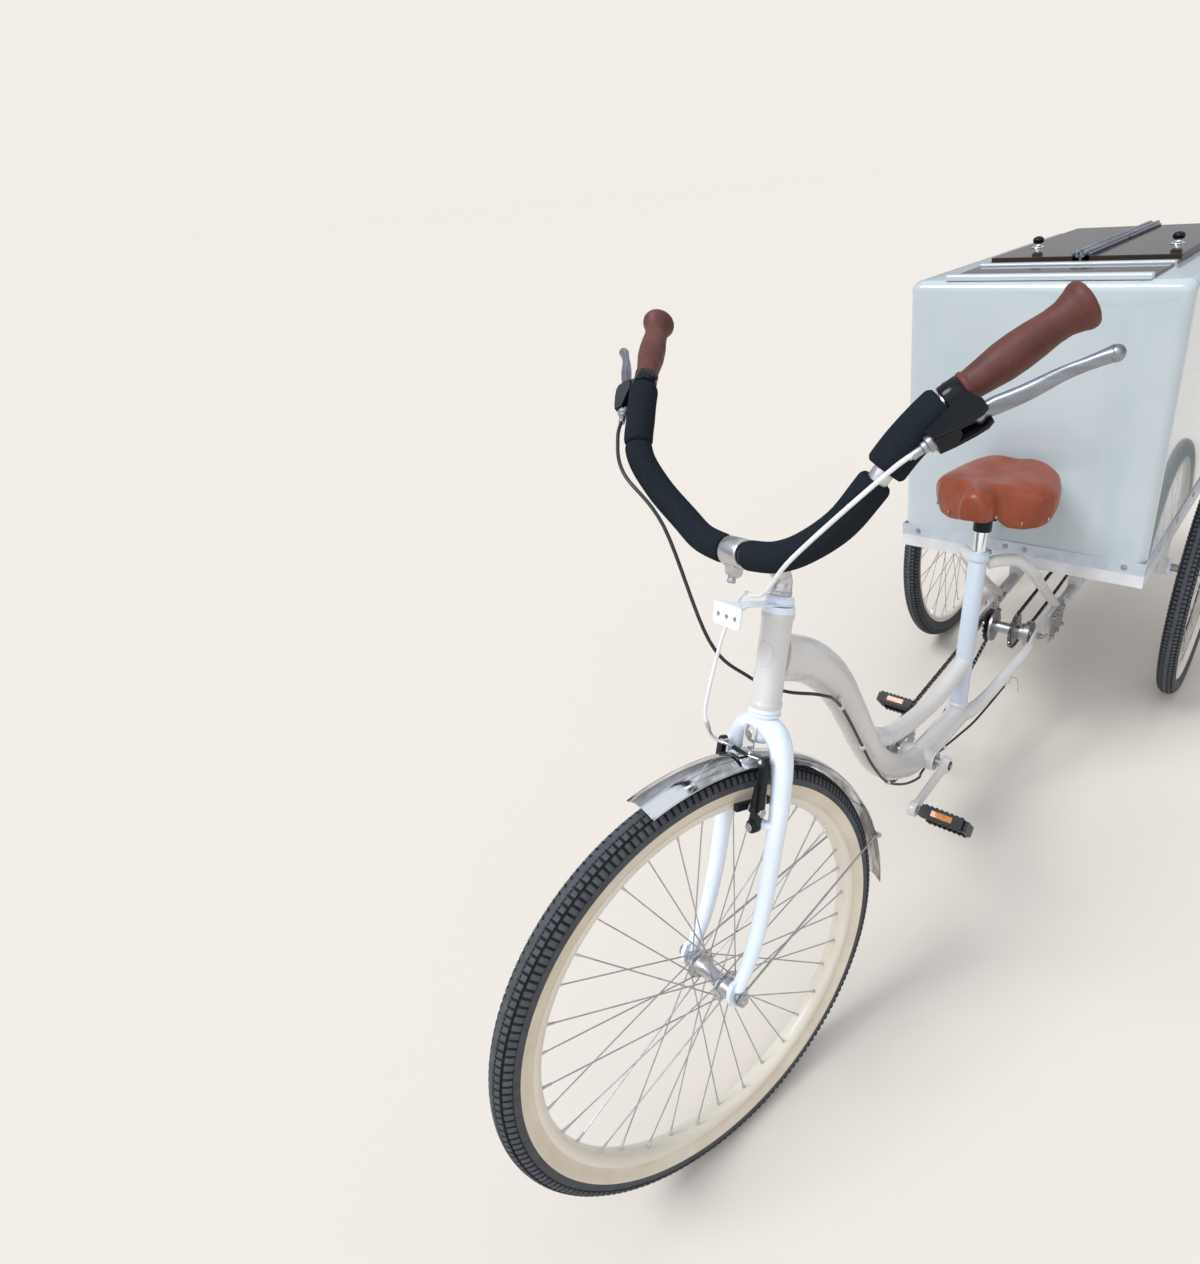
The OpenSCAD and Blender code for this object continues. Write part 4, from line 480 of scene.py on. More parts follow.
def build_bar():
    f = Form("alloy")
    f.add(tube(BAR, 11.1, 32), both=True)
    f.add(disc(BAR_MID, 12.7, 40, soft=2))
    f.make("bar_tube", "steering", "alloy", steer, ["handlebar"])
    f = Form("foam")
    for s0, s1, side, fat in ((21, 248, 1, 18.4), (260, LEVER_S - 11.5, 1, 21.4), (21, 248, -1, 18.4),
                             (249, LEVER_S - 11.5, -1, 19.4)):
        n = 96
        r = [fat * (1 - 0.14 * math.exp(-(k / n * (s1 - s0) / 2.2) ** 1.4)
                     - 0.14 * math.exp(-((n - k) / n * (s1 - s0) / 2.2) ** 1.4)) for k in range(n + 1)]
        f.add(tube(part_of(BAR, s0, s1, n), r, 48), side=side)
    o = f.make("foam_tubes", "steering", "foam", steer, ["foam_sleeves"], angle=60)
    # Grips: a waist, a palm swell, a flared end and fine ribs along one side
    f = Form("grip")
    for side in (1, -1):
        prof = [(11.6, -1), (15.0, -1), (16.2, 1.0), (16.2, 4), (15.0, 5.5)]
        for k in range(61):
            t = k / 60
            prof.append((np.interp(t, [0, 0.12, 0.3, 0.45, 0.6, 0.75, 0.86, 0.95, 1],
                                   [14.8, 16.2, 18.6, 18.8, 17.8, 16.2, 16.6, 19.8, 22.4]), 7 + t * 112))
        prof += [(22.8, 121), (22.9, 124), (22.0, 126.5), (19, 128.4), (12, 129.4), (0.5, 129.6)]
        root = TIP - GRIP_LEN * GRIP_DIR
        pts, faces = lathe(prof, root, GRIP_DIR, 72)
        q = pts - root
        h = q @ GRIP_DIR
        rad = q - h[:, None] * GRIP_DIR
        toward = rad @ unit(np.cross(GRIP_DIR, [0.2, 0.1, -0.6]))
        mask = np.clip(toward / 16, 0, 1) ** 2 * (h > 48) * (h < 104)
        pts = pts - rad * (mask * 0.05 * (0.5 + 0.5 * np.sin(h * 2 * PI / 4.0)))[:, None]
        f.add((pts, faces), side=side)
    f.make("bar_grips", "steering", "grip_rubber", steer, ["grips"], angle=60)


def build_levers():
    # Bodies: a clamp band, an arm, a hood over the pivot and the barrel adjuster
    f = Form("gloss_black", "steel")
    hood = [(22, 12), (34, 16), (46, 15), (49, 8), (48, -6), (45, -24), (41, -39), (27, -41), (23, -24),
            (18, -8)]
    arm = [(8, 11), (30, 11), (30, -10), (18, -9), (8, -11)]
    core = [(23, 12), (31, 12), (32, -12), (44, -14), (46, -22), (42, -38.5), (27, -40.5), (23, -24)]
    parts = [(cyl((0, 0, -10), (0, 0, 10), 16.2, 40, 1.2, 11.2), 0),
             (side_plate(arm, (0, 0, 0), 19), 0),
             (side_plate(hood, (0, 9.0, 0), 4.4), 0),
             (side_plate(hood, (0, -9.0, 0), 4.4), 0),
             (side_plate(core, (0, 0, 0), 17), 0),
             (cyl((33, 0, -37), (33, 0, -45), 8, 24, 1), 1),
             (cyl((33, 0, -45), (33, 0, -50), 6, 24, 0.5), 1),
             (cyl((33, 0, -50), (33, 0, -62), 4.4, 24, 0.8), 1),
             (cyl((38, -11, 6), (38, 11, 6), 4.2, 24, 0.8), 1),
             (cyl((-11, 0, 0), (-19, 0, 0), 6, 24, 1), 0),
             (cyl((-15, -5, 0), (-15, 6, 0), 3, 24, 0.5), 1)]
    for k in range(5):
        parts.append((cyl((33, 0, -38 - 1.4 * k), (33, 0, -38.7 - 1.4 * k), 8.5, 24, 0.2), 1))
    for side in (1, -1):
        for (pts, faces), kind in parts:
            f.add((lever_pt(pts), faces), kind, side=side)
    f.make("lever_bodies", "steering", "black_plastic", steer, ["lever_clamps"], bevel=0.7)
    # Blades: a tapering bowed bar that ends in a curled ball
    for side, body, node in ((1, "left_lever", "left_brake_lever"),
                             (-1, "right_lever", "right_brake_lever")):
        f = Form("brushed")
        spine = []
        for i in range(41):
            t = i / 40
            spine.append((38 + 34 * (1 - math.cos(PI / 2 * t)) * 0.55 + 34 * 0.45 * t
                          + 3.5 * math.sin(PI * min(1, t * 1.4)) ** 2 - 1.5, 0, 6 + 116 * t))
        spine = np.array(spine)
        t = np.linspace(0, 1, 41)
        ru = 5.6 - 1.4 * np.exp(-((t - 0.72) / 0.2) ** 2) + 1.4 * np.exp(-((t - 1) / 0.05) ** 2)
        rv = np.interp(t, [0, 0.15, 0.5, 0.8, 1], [7.4, 9.4, 8.0, 6.4, 6.8])
        solids = [tube(spine, ru, 28, ref=(0, 1, 0), rv=rv, power=2.6),
                  ball(spine[-1] + [0.6, 0, -0.5], 7.3, 28),
                  cyl((38, -4.8, 6), (38, 4.8, 6), 6.8, 32, 0.8),
                  tube([(38, 0, 8), (35, 0, -8), (34, 0, -22)], [5, 4.6, 4], 20, ref=(0, 1, 0), rv=4.2,
                       power=3)]
        for pts, faces in solids:
            f.add((lever_pt(pts), faces), side=side)
        f.make(node + "_blade", body, "alloy", steer, [node], angle=50)


# Cables; the rear one is clipped to the frame along this route
FIXED_ROUTE = [(28, 300, 652), (22, 336, 610), (20, 372, 546), (20, 402, 484), (20, 440, 410),
               (20, 490, 338), (21, 560, 280), (22, 620, 250), (14, 650, 238), (10, 700, 231),
               (14, 760, 226), (22, 830, 219), (32, 880, 222), (44, 940, 238), (56, 1006, 257.5)]


def steer_to_cycle(p):
    """Steering frame to the cycle frame, both in millimetres."""
    return steer(p) * 1000 + ORIGIN


def build_cables():
    barrel = np.array([33, 0, -53.0])
    route = smooth([lever_pt(barrel)[0], lever_pt(barrel + [0, 0, -35])[0], (150, -138, 640),
                    (96, -118, 592), (30, -76, 572), (-8, -56, 566), (-25, -54, 545), (-36, -60, 500),
                    (-44, -66, 420), (-44, -66, 392), (-40, -60, 372)], 8)
    noodle = smooth([(-40, -60, 372), (-38, -54, 362), (-30, -48, 357), (-14, -42.5, 356),
                     (20, -42.5, 355.5), (38, -37, 355)], 8)
    f = Form("cable_white", "alloy", "black")
    f.add(tube(route, 2.5, 16))
    f.add(tube(noodle[:26], 2.2, 16), 1)
    f.add(tube(noodle[22:], 0.9, 10), 1)
    f.add(tube(noodle[26:34], [3.4, 3.0, 3.3, 2.8, 3.1, 2.6, 2.4, 1.6], 16), 2)
    for a, b in ((route[0], route[1]), (route[-1], route[-2])):
        f.add(cyl(a, a + unit(b - a) * 12, 3.2, 20, 0.5), 1)
    f.make("cable_front", "steering", "cable_white", steer, ["front_brake_cable"])
    free = [steer_to_cycle(flip(lever_pt(barrel)))[0],
            steer_to_cycle(flip(lever_pt(barrel + [0, 0, -40])))[0],
            steer_to_cycle((-176, -140, 690))[0], steer_to_cycle((-110, -116, 632))[0], (-66, 158, 800),
            (-40, 196, 730), (-10, 236, 690), (20, 272, 672), (28, 300, 652)]
    route = np.concatenate([smooth(free, 8)[:-1], smooth(FIXED_ROUTE, 8)])
    f = Form("cable_black")
    f.add(tube(route, 2.5, 16))
    o = f.make("cable_rear", None, "cable_black", cycle, ["rear_brake_cable"])
    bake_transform(o)
    wire = smooth([(56, 1006.5, 258), (60, 1018, 257), (60, 1034, 262), (64, 1050, 252), (67, 1060, 236),
                   (68, 1064, 218), (68, 1065, 204)], 8)
    f = Form("steel")
    f.add(tube(wire, 0.9, 10))
    o = f.make("wire_end", "frame", "steel", cycle, ["cable_inner_wire"])


# Wheels, turned about X with their middle plane at X = 0
def wheel(r_out, tread_n):
    """Tyre section turned about the axle, with the tread cut into it."""
    mid = r_out - TUBE_R
    seg = tread_n * 6
    phi = np.radians(np.concatenate([np.linspace(-150, -84, 12), np.linspace(-80, 80, 54),
                                     np.linspace(84, 150, 12)]))
    th = np.arange(seg) * 2 * PI / seg
    P, T = np.meshgrid(phi, th)
    deg = np.degrees(np.abs(P))
    u = (T * tread_n / (2 * PI) + np.where(P > 0, 0.5, 0)) % 1

    def gap(x, c, w):
        return np.exp(-((x - c) / w) ** 4)

    # Centre band cut by a zig-zag, two rows of blocks beside it, then shoulder lugs
    zig = 12 + 5 * np.abs(2 * u - 1)
    depth = 2.0 * gap(deg, zig, 2.4)
    depth = np.maximum(depth, 2.6 * gap(deg, 42, 3.0))
    depth = np.maximum(depth, 2.3 * gap(u, 0.5, 0.16) * (deg > 15) * (deg < 43))
    depth = np.maximum(depth, 2.8 * gap((u + 0.5) % 1, 0.5, 0.17) * (deg > 40) * (deg < 76))
    depth = np.maximum(depth, 2.2 * np.clip((deg - 72) / 6, 0, 1))
    rr = TUBE_R - depth + 0.35 * (deg > 99) * (deg < 103)
    R = mid + rr * np.cos(P)
    S = rr * np.sin(P)
    low = np.clip((deg - 118) / 32, 0, 1)
    R = R * (1 - low) + (283.5 + 8 * (1 - low)) * low
    S = S * (1 - low) + np.sign(P) * 14.6 * low
    pts = np.stack([S, R * np.cos(T), R * np.sin(T)], -1).reshape(-1, 3)
    faces = grid_faces(seg, len(phi), close_rows=True, close_cols=True)
    cols = len(phi)
    d = (deg[0] + np.roll(deg[0], -1)) / 2
    pair = depth + np.roll(depth, -1, 0)
    cut = (pair + np.roll(pair, -1, 1)) / 4
    # Faces deep in the tread cuts take the darker groove material, painted shade in the recesses
    kinds = np.where(d[None, :] > 101, 1, np.where((cut > 1.1) & (d[None, :] < 76), 2, 0))
    return pts, [f[::-1] for f in faces], kinds.reshape(-1).tolist()


RIM = [(271.6, 0), (271.8, 4), (272.6, 8), (274.2, 11.4), (277, 13.9), (281, 15.2), (285.2, 15.6),
       (286.2, 15.0), (285.8, 13.8), (280, 13.2), (278, 9)]


def rim_solid():
    """Rim with hooked edges, from half of its section."""
    prof = RIM + [(r, -x) for r, x in RIM[::-1] if x != 0]
    return lathe(prof, (0, 0, 0), (1, 0, 0), 160, closed=True)


def hub_solids(half, bore):
    """Hub shell with a flange on each side."""
    g = 29
    prof = [(bore, -half), (bore + 6, -half), (bore + 7.5, -half + 4), (bore + 8, -g - 6), (15, -g - 2.2),
            (22, -g - 1.6), (23, -g), (22, -g + 1.6), (16, -g + 2.6), (13, -g + 8), (11.6, -g + 16),
            (11, 0)]
    prof = prof + [(r, -x) for r, x in prof[:-1][::-1]]
    return lathe(prof, (0, 0, 0), (1, 0, 0), 64, closed=True)


def spoke_solids():
    """Spokes crossed three times, with a bent head at the flange and a nipple at the rim."""
    per = SPOKES // 2
    cross = 3 * 720 / SPOKES
    out, nip = [], []
    for side in (-1, 1):
        for k in range(per):
            lead = 1 if k % 2 == 0 else -1
            a = math.radians(360 * k / per + (180 / per if side > 0 else 0))
            b = a + lead * math.radians(cross)
            root = np.array([side * (29 + lead * 1.7), 19 * math.cos(a), 19 * math.sin(a)])
            tip = np.array([side * 3, 272 * math.cos(b), 272 * math.sin(b)])
            head = np.array([side * (29 - lead * 2.4), 19 * math.cos(a), 19 * math.sin(a)])
            d = unit(tip - root)
            out.append(tube([head, head * 0.35 + root * 0.65, root + d * 1.2, root + d * 6, tip], 1.0, 8))
            out.append(ball(head, 1.7, 8))
            nip.append(tube([root + (tip - root) * q for q in (0.95, 0.954, 0.985, 0.99, 1.006)],
                            [1.4, 1.8, 1.9, 2.6, 2.6], 10))
    return out, nip


def build_wheels():
    spokes, nips = spoke_solids()
    rim = rim_solid()
    for name, body, centre, space, r_out, half, bore in (
            ("front", "front_wheel", (0, 0, AXLE_Z), straight, FRONT_R, 49.5, 5.08),
            ("left_rear", "rear_wheel_set", (HALF_TRACK, WHEELBASE, REAR_R), cycle, REAR_R, 42, 10.02),
            ("right_rear", "right_rear_wheel", (-HALF_TRACK, WHEELBASE, REAR_R), cycle, REAR_R, 42,
             10.08)):
        def at(p, c=np.array(centre), s=space):
            return s(arr(p) + c)
        wall = "whitewall" if name == "front" else "tyre"
        f = Form("tyre", wall, "groove_painted_shade")
        pts, faces, kinds = wheel(r_out, 192)
        f.add((pts, faces))
        f.kinds = kinds
        f.make(name + "_tread", body, "tyre_rubber", at, [name + "_tyre"], angle=50)
        Form("rim").add(rim).make(name + "_rim_ring", body, "cream_paint", at, [name + "_rim"], angle=50)
        f = Form("steel", "alloy")
        for s in spokes:
            f.add(s)
        for s in nips:
            f.add(s, 1)
        f.make(name + "_spoke_set", body, "steel", at, [name + "_spokes"])
        f = Form("alloy", "steel")
        f.add(hub_solids(half, bore))
        for m in (-1, 1):
            f.add(disc((m * (half - 3), 0, 0), bore + 7.6, 4, 40, bore=bore + 1), 1)
        f.make(name + "_hub_shell", body, "alloy", at, [name + "_hub"])


# Fork, brake, mudguard and head
def build_fork():
    f = Form("fork", "steel")
    blade = smooth([(-6, 0, 386), (10, 0, 386), (22, 0.2, 382), (33, 0.6, 374), (42, 1, 358),
                    (50, 0, 328), (54, 0, 278), (54, 0, 238), (54, -2, 150), (54, -11, 70),
                    (54, -29.5, 12)], 10)
    n = len(blade)
    t = np.linspace(0, 1, n)
    ru = np.interp(t, [0, 0.1, 0.2, 0.35, 0.55, 1], [8, 14, 15.6, 15.5, 14.5, 10])
    rv = np.interp(t, [0, 0.1, 0.2, 0.35, 0.55, 1], [12, 19, 19, 17.5, 14.5, 10])
    f.add(tube(blade, ru, 40, ref=(0, 1, 0), rv=rv), both=True)
    f.add(ball((54, -29.5, 12), 10, 20, (1, 1, 0.7)), both=True)
    crown = [(0.1, 360), (12, 361), (18, 365), (20.5, 371), (20.2, 384), (20, 396), (20, 401)]
    f.add(upright(crown, closed=False))
    f.add(upright([(14.4, 400), (22.5, 400), (23, 401), (23, 403.4), (22, 404), (14.3, 404)]))
    f.add(cyl((0, 0, 400), (0, 0, 556), 14.3, 40))
    plate = [(-44, 22), (-22, 30), (-16, 12), (-15, -4), (-18, -12), (-26, -17), (-34, -17), (-42, -12),
             (-47, -2), (-48, 10)]
    f.add(long_plate(plate, (53.5, 0, 0), 7), both=True)
    f.add(cyl((54, -8, BOSS_Z), (40, -18, BOSS_Z), 6.5, 24), both=True)
    f.add(cyl((40, -14, BOSS_Z), (40, -26, BOSS_Z), 8, 28, 1), both=True)
    f.add(cyl((40, -26, BOSS_Z), (40, -42, BOSS_Z), 4, 20), 1, both=True)
    # Bolt through the crown
    f.add(cyl((0, -24, 374), (0, -19, 374), 6.0, 6, 0.8), 1)
    f.make("fork_body", "steering", "white_paint", steer, ["fork"], angle=40)


def build_brakes():
    for side, body, node in ((1, "left_arm", "left_brake_arm"), (-1, "right_arm", "right_brake_arm")):
        f = Form("black", "steel", "alloy")
        z0 = BOSS_Z
        arm = [(8, 0), (10.5, 20), (11, 40), (10, 70), (9, 92), (6, 99), (1, 100), (-2, 98), (-1, 80),
               (-1.5, 60), (-2, 40), (-6, 18), (-8, 0), (-7, -6), (0, -9), (7, -6)]
        solids = [(side_plate([(40 + a, b) for a, b in arm], (0, -30, z0), 9), 0),
                  (cyl((40, -24.6, z0), (40, -36.5, z0), 9.4, 28, 1), 0),
                  (cyl((40, -36.5, z0), (40, -41, z0), 6.2, 6, 0.8), 1),
                  (side_plate([(34, 20), (46, 20), (45, 60), (38, 60)], (0, -35.5, z0), 4), 0),
                  (cyl((51, -29, z0 + 23), (24, -29, z0 + 23), 3.2, 20), 1),
                  (cyl((47, -29, z0 + 23), (53, -29, z0 + 23), 6.4, 6, 0.7), 1),
                  (cyl((29, -29, z0 + 23), (33, -29, z0 + 23), 7.5, 24, 1), 1),
                  (tube(smooth([(47, -28, z0 + 4), (50, -24, z0 + 30), (48, -27, z0 + 62),
                                (43, -31, z0 + 80)], 6),
                        0.9, 8), 1),
                  (cyl((40, -36, z0 + 93), (40, -24, z0 + 93), 4, 20, 0.7), 2)]
        pad = side_plate(round_rect(9, 11, 2.4, 4), (22.5, -21, z0 + 23), 60)
        solids.append((pad, 0))
        for s, kind in solids:
            f.add(s, kind, side=side)
        f.make(node + "_shape", body, "black_plastic", steer, [node], bevel=0.8)


def build_mudguard():
    # The guard's chrome carries painted reflections in its colour
    f = Form("guard")
    n, m = 120, 18
    th = np.radians(np.linspace(-10, 96.5, n))
    rows = []
    for t_i, t in enumerate(th):
        row = []
        end = min(t_i, n - 1 - t_i)
        trim = 1 - 0.10 * max(0, 1 - end / 3)
        for k in range(m + 1):
            q = -1 + 2 * k / m
            r = 347.9 - 9 * q * q
            row.append((29 * q * trim, r * math.cos(t), AXLE_Z + r * math.sin(t)))
        for k in range(m, -1, -1):
            q = -1 + 2 * k / m
            r = 347 - 9 * q * q
            row.append((28.6 * q * trim, r * math.cos(t), AXLE_Z + r * math.sin(t)))
        rows.append(row)
    pts = np.array(rows).reshape(-1, 3)
    cols = 2 * (m + 1)
    faces = grid_faces(n, cols)
    faces.append(list(range(cols))[::-1])
    faces.append([(n - 1) * cols + k for k in range(cols)])
    f.add((pts, faces))
    # Rolled beads along both edges
    for sx in (-1, 1):
        bead = [(sx * 29, 338.4 * math.cos(t), AXLE_Z + 338.4 * math.sin(t)) for t in th]
        f.add(tube(bead, 1.0, 10))
    f.make("guard_blade", "steering", "chrome", straight, ["front_mudguard"], angle=50)
    f = Form("steel")
    ea = math.radians(8)
    edge = np.array([0, 339 * math.cos(ea), AXLE_Z + 339 * math.sin(ea)])
    eye = 53.5 + 3.5 + 2.3
    for sx in (-1, 1):
        a = np.array([eye * sx, 14, AXLE_Z + 1])
        b = edge + [sx * 31, 0, 0]
        f.add(tube(smooth([a, a + (b - a) * 0.3, a + (b - a) * 0.9, b], 8), 1.7, 12))
        f.add(cyl(b + [sx * 4, 0, 0], b - [sx * 3, 0, 0], 3.6, 20))
        f.add(cyl(b + [sx * 4, 0, 0], b + [sx * 7, 0, 0], 4.6, 6, 0.6))
        f.add(disc((eye * sx, 0, AXLE_Z), 8, 3.8, 32, bore=5.1))
        f.add(long_plate([(5, -3.6), (16, -3.2), (16, 4.6), (5, 4.6)], (eye * sx, 0, AXLE_Z), 3.8))
    f.make("guard_wires", "steering", "steel", straight, bevel=0.3)
    f = Form("chrome", "steel")
    f.add(side_plate(round_rect(22, 33, 4), (0, -21.6, 370), 2.4))
    f.add(long_plate([(-22.8, 354), (-22.8, 350.6), (-46, 350.0), (-46, 348.4), (-20.4, 348.4),
                      (-20.4, 356)], (0, 0, 0),
                22))
    f.add(cyl((0, -36, 348), (0, -36, 353), 4.5, 6, 0.5), 1)
    f.make("guard_bracket", "steering", "chrome", steer, bevel=0.4)
    # Axle with washers and nuts
    f = Form("steel")
    f.add(cyl((-73, 0, AXLE_Z), (73, 0, AXLE_Z), 4.9, 32))
    for k in range(8):
        for sx in (-1, 1):
            f.add(disc((sx * (72.2 - 1.1 * k), 0, AXLE_Z), 5.2, 0.55, 24, soft=0.2))
    for sx in (-1, 1):
        f.add(disc((sx * (eye + 3.7), 0, AXLE_Z), 10, 3, 36))
        f.add(cyl((sx * (eye + 5.3), 0, AXLE_Z), (sx * (eye + 12.3), 0, AXLE_Z), 9.0, 6, 0.8))
        f.add(disc((sx * 48, 0, AXLE_Z), 8.4, 3.6, 36))
    f.make("axle_front", "steering", "steel", straight, ["front_axle"], angle=30)


def build_head():
    f = Form("frame")
    prof = [(17, 0), (22.2, 0), (22.6, 1), (22.6, 7), (21.6, 8.6), (21, 10), (21, 121), (21.6, 122.4),
            (22.6, 124), (22.6, 130), (22.2, 131), (17, 131)]

    def head(p):
        p = arr(p)
        return cycle(p[:, :1] * X + p[:, 1:2] * BACK + p[:, 2:] * AXIS + FOOT)
    f.add(upright([(r, h + HEAD_FOOT) for r, h in prof], 64))
    # Bare oval plate on the front of the head tube
    ring = []
    for k in range(40):
        a = 2 * PI * k / 40
        x, z = 13 * math.cos(a), 17 * math.sin(a)
        ring.append((x, -math.sqrt(21.2 ** 2 - x * x), HEAD_FOOT + 76 + z))
    f.add(tube(ring + [ring[0]], 0.5, 8, caps=False))
    f.make("head_shell", "frame", "white_paint", head, ["head_tube"], angle=40)


def build_stem():
    f = Form("alloy", "steel", "fork")
    f.add(cyl((0, 0, 500), (0, 0, 590), 11.1, 40))
    # Locknut, hexagon and ring under the stem
    f.add(upright([(14.4, 554.6), (19, 554.6), (19.4, 556), (19.4, 561), (17.5, 563.5), (14, 565),
                   (11.2, 565)]), 2)
    f.add(cyl((0, 0, 565), (0, 0, 571), 15, 8, 1), 0)
    f.add(upright([(11.1, 570), (13.6, 570), (14.2, 572), (13.4, 580), (12.4, 586), (11.1, 586)]), 0)
    neck = smooth([(0, 1, 574), (0, 0, 583), (0, -7, 594), (0, -24, 606), (0, -46, 613), (0, -68, 617)],
                  8)
    f.add(tube(neck, [11.5, 12.6, 12.6, 12, 11.5, 11, 12.5], 36, ref=(1, 0, 0),
               rv=[12, 12.8, 12.8, 11, 10.5, 11, 13], power=2.3))
    f.add(ball((0, 1, 584), 12.2, 24, (1, 1, 0.8)))
    f.add(disc(BAR_MID, 18.6, 34, 56, soft=3.5, bore=12.8))
    # Pinch lug below the bar with its bolt
    f.add(long_plate([(-9, -14), (10, -14), (8, -27), (2, -31), (-5, -28)], BAR_MID + [0, -2, 0], 17))
    f.add(cyl(BAR_MID + [0, -3, -36], BAR_MID + [0, -3, -16], 4.6, 24), 1)
    f.add(cyl(BAR_MID + [0, -3, -37.5], BAR_MID + [0, -3, -32], 5.8, 6, 0.6), 1)
    f.make("stem_body", "steering", "alloy", steer, ["stem"], bevel=0.6)
    f = Form("fork", "steel")
    plate = [(20 * math.cos(PI * k / 24), 20 * math.sin(PI * k / 24)) for k in range(25)]
    plate += [(-13, -15), (-13, -66), (-26, -84), (-26, -87.5), (26, -87.5), (26, -84), (13, -66),
              (13, -15)]
    f.add(prism(plate, (0, 0, 553.4), (1, 0, 0), (0, 1, 0), 2.2))
    # Flange with rounded corners, and a dark washer face behind each hole
    edge = [(26, 2), (-26, 2)]
    edge += [(-20 + 6 * math.cos(a), -20 + 6 * math.sin(a)) for a in np.radians(range(180, 271, 15))]
    edge += [(20 + 6 * math.cos(a), -20 + 6 * math.sin(a)) for a in np.radians(range(270, 361, 15))]
    f.add(side_plate(edge, (0, -86.7, 552.3), 2.4))
    for x in (-16, 0, 16):
        f.add(disc((x, -86.7, 539.3), 4.6, 3.0, 24, axis=(0, 1, 0), soft=0.2, bore=3.0))
        f.add(disc((x, -86.7, 539.3), 3.1, 2.7, 20, axis=(0, 1, 0), soft=0.1), 1)
    f.make("lamp_plate", "steering", "white_paint", steer, ["lamp_bracket"], bevel=0.3)


# Main frame
def frame_path():
    """Middle line of the S-shaped main tube."""
    return smooth([(0, 196, 772), (0, 242, 746), (0, 290, 712), (0, 336, 663), (0, 372, 608),
                   (0, 406, 538), (0, 438, 469), (0, 477, 400), (0, 533, 337), (0, 600, 289),
                   (0, 650, 269), (0, 697, 264)], 10)


SEAT_FOOT, SEAT_TOP = np.array([0, 860, 253.0]), np.array([0, 929, 614.0])
SEAT_DIR = unit(SEAT_TOP - SEAT_FOOT)
BB = np.array([0, 667, 266.0])
YOKE = np.array([0, 878, 244.0])


def build_frame():
    path = frame_path()
    n = len(path)
    t = np.linspace(0, 1, n)
    depth = np.interp(t, [0, 0.35, 0.75, 1], [33.5, 33.5, 26, 24])
    width = np.interp(t, [0, 0.2, 1], [21, 23, 22])
    # From inside the head tube's wall to inside the bottom bracket's
    keep = (path[:, 1] > 214) & (path[:, 1] < 668)
    f = Form("frame")
    f.add(tube(path[keep], depth[keep], 48, ref=(1, 0, 0), rv=width[keep]))
    f.make("tube_main", "frame", "white_paint", cycle, ["main_tube"], angle=60)
    f = Form("frame", "steel")
    f.add(disc(BB, 21, 70, 64, soft=1.2, bore=17))
    for sx in (-1, 1):
        f.add(disc(BB + [sx * 36.6, 0, 0], 19.4, 3, 48, bore=9), 1)
        for k in range(8):
            a = k * PI / 4
            f.add(disc(BB + [sx * 37.6, 17.5 * math.cos(a), 17.5 * math.sin(a)], 1.6, 2, 10), 1)
    f.make("bracket_shell", "frame", "white_paint", cycle, ["bottom_bracket"], bevel=0.3)
    # The seat tube takes the bluish copy of the frame paint, painted blue light
    f = Form("frame", "painted_blue_light")
    f.add(cyl(SEAT_FOOT + 12 * SEAT_DIR, SEAT_TOP, 19, 56, 0.8, 13.7), 1)
    brace = smooth([(0, 470, 452), (0, 520, 417), (0, 588, 392), (0, 674, 373), (0, 757, 364),
                    (0, 842, 370), (0, 882, 376)], 10)
    f.add(tube(brace, 18, 48, ref=(1, 0, 0)))
    # Weld bead above the yoke
    f.add(lathe([(17.6, -3), (21.2, -1.5), (21.4, 1), (19.1, 4), (17.6, 4)], SEAT_FOOT + 24 * SEAT_DIR,
                SEAT_DIR, 64, closed=True))
    f.make("tube_seat", "frame", "white_paint", cycle, ["seat_tube"], angle=50)
    f = Form("frame")
    rear = smooth([BB + (YOKE - BB) * q for q in (-0.02, 0.3, 0.6, 0.9, 1.03)], 6)
    f.add(tube(rear, 25, 48))
    f.add(ball(YOKE, 26, 32))
    stay = smooth([(9, 868, 247), (23, 890, 249), (42, 952, 266), (57, 1030, 290), (66, 1076, 303),
                   (71, 1108, 311)], 8)
    f.add(tube(stay, [20, 15.5, 13.5, 12.5, 12, 11.5, 10.5], 36), both=True)
    plate = [(1088, 302), (1120, 298), (1165, 298), (1230, 302), (1326, 306), (1326, 340), (1290, 346),
             (1230, 340), (1160, 342), (1120, 332), (1088, 314)]
    f.add(long_plate(plate, (72, 0, 0), 6), both=True)
    # Brake bosses and the cable stop below the stays
    f.add(cyl((54, 1012, 283), (54, 1006, 262), 7, 28, 1), both=True)
    f.add(cyl((56, 1000, 259), (56, 1016, 259), 4.2, 20), 0)
    f.make("tube_stays", "frame", "white_paint", cycle, ["chain_stays"], angle=50)
    f = Form("frame")
    up = smooth([(15, 944, 588), (34, 962, 590), (58, 1000, 578), (73, 1052, 534), (75, 1120, 474),
                 (75, 1210, 396), (73, 1284, 338)], 8)
    f.add(tube(up, [13, 13, 12.5, 12, 11.5, 11, 10.5], 36), both=True)
    f.make("tube_upper_stays", "frame", "white_paint", cycle, ["seat_stays"], angle=50)
    f = Form("frame")
    fixed = smooth(FIXED_ROUTE, 2)
    for i, leg in ((2, (0, 0, 18)), (6, (-14, 14, 4)), (10, (-14, 10, 6)), (20, (0, 0, 20))):
        c = fixed[i]
        d = unit(fixed[i + 1] - fixed[i - 1])
        f.add(cyl(c - 4.5 * d, c + 4.5 * d, 5, 24, 0.8, 2.7))
        leg_dir = unit(leg)
        f.add(cyl(c + leg_dir * 3.5, c + np.array(leg), 3.4, 16))
    f.make("clips", "frame", "white_paint", cycle, ["cable_clips"], angle=40)


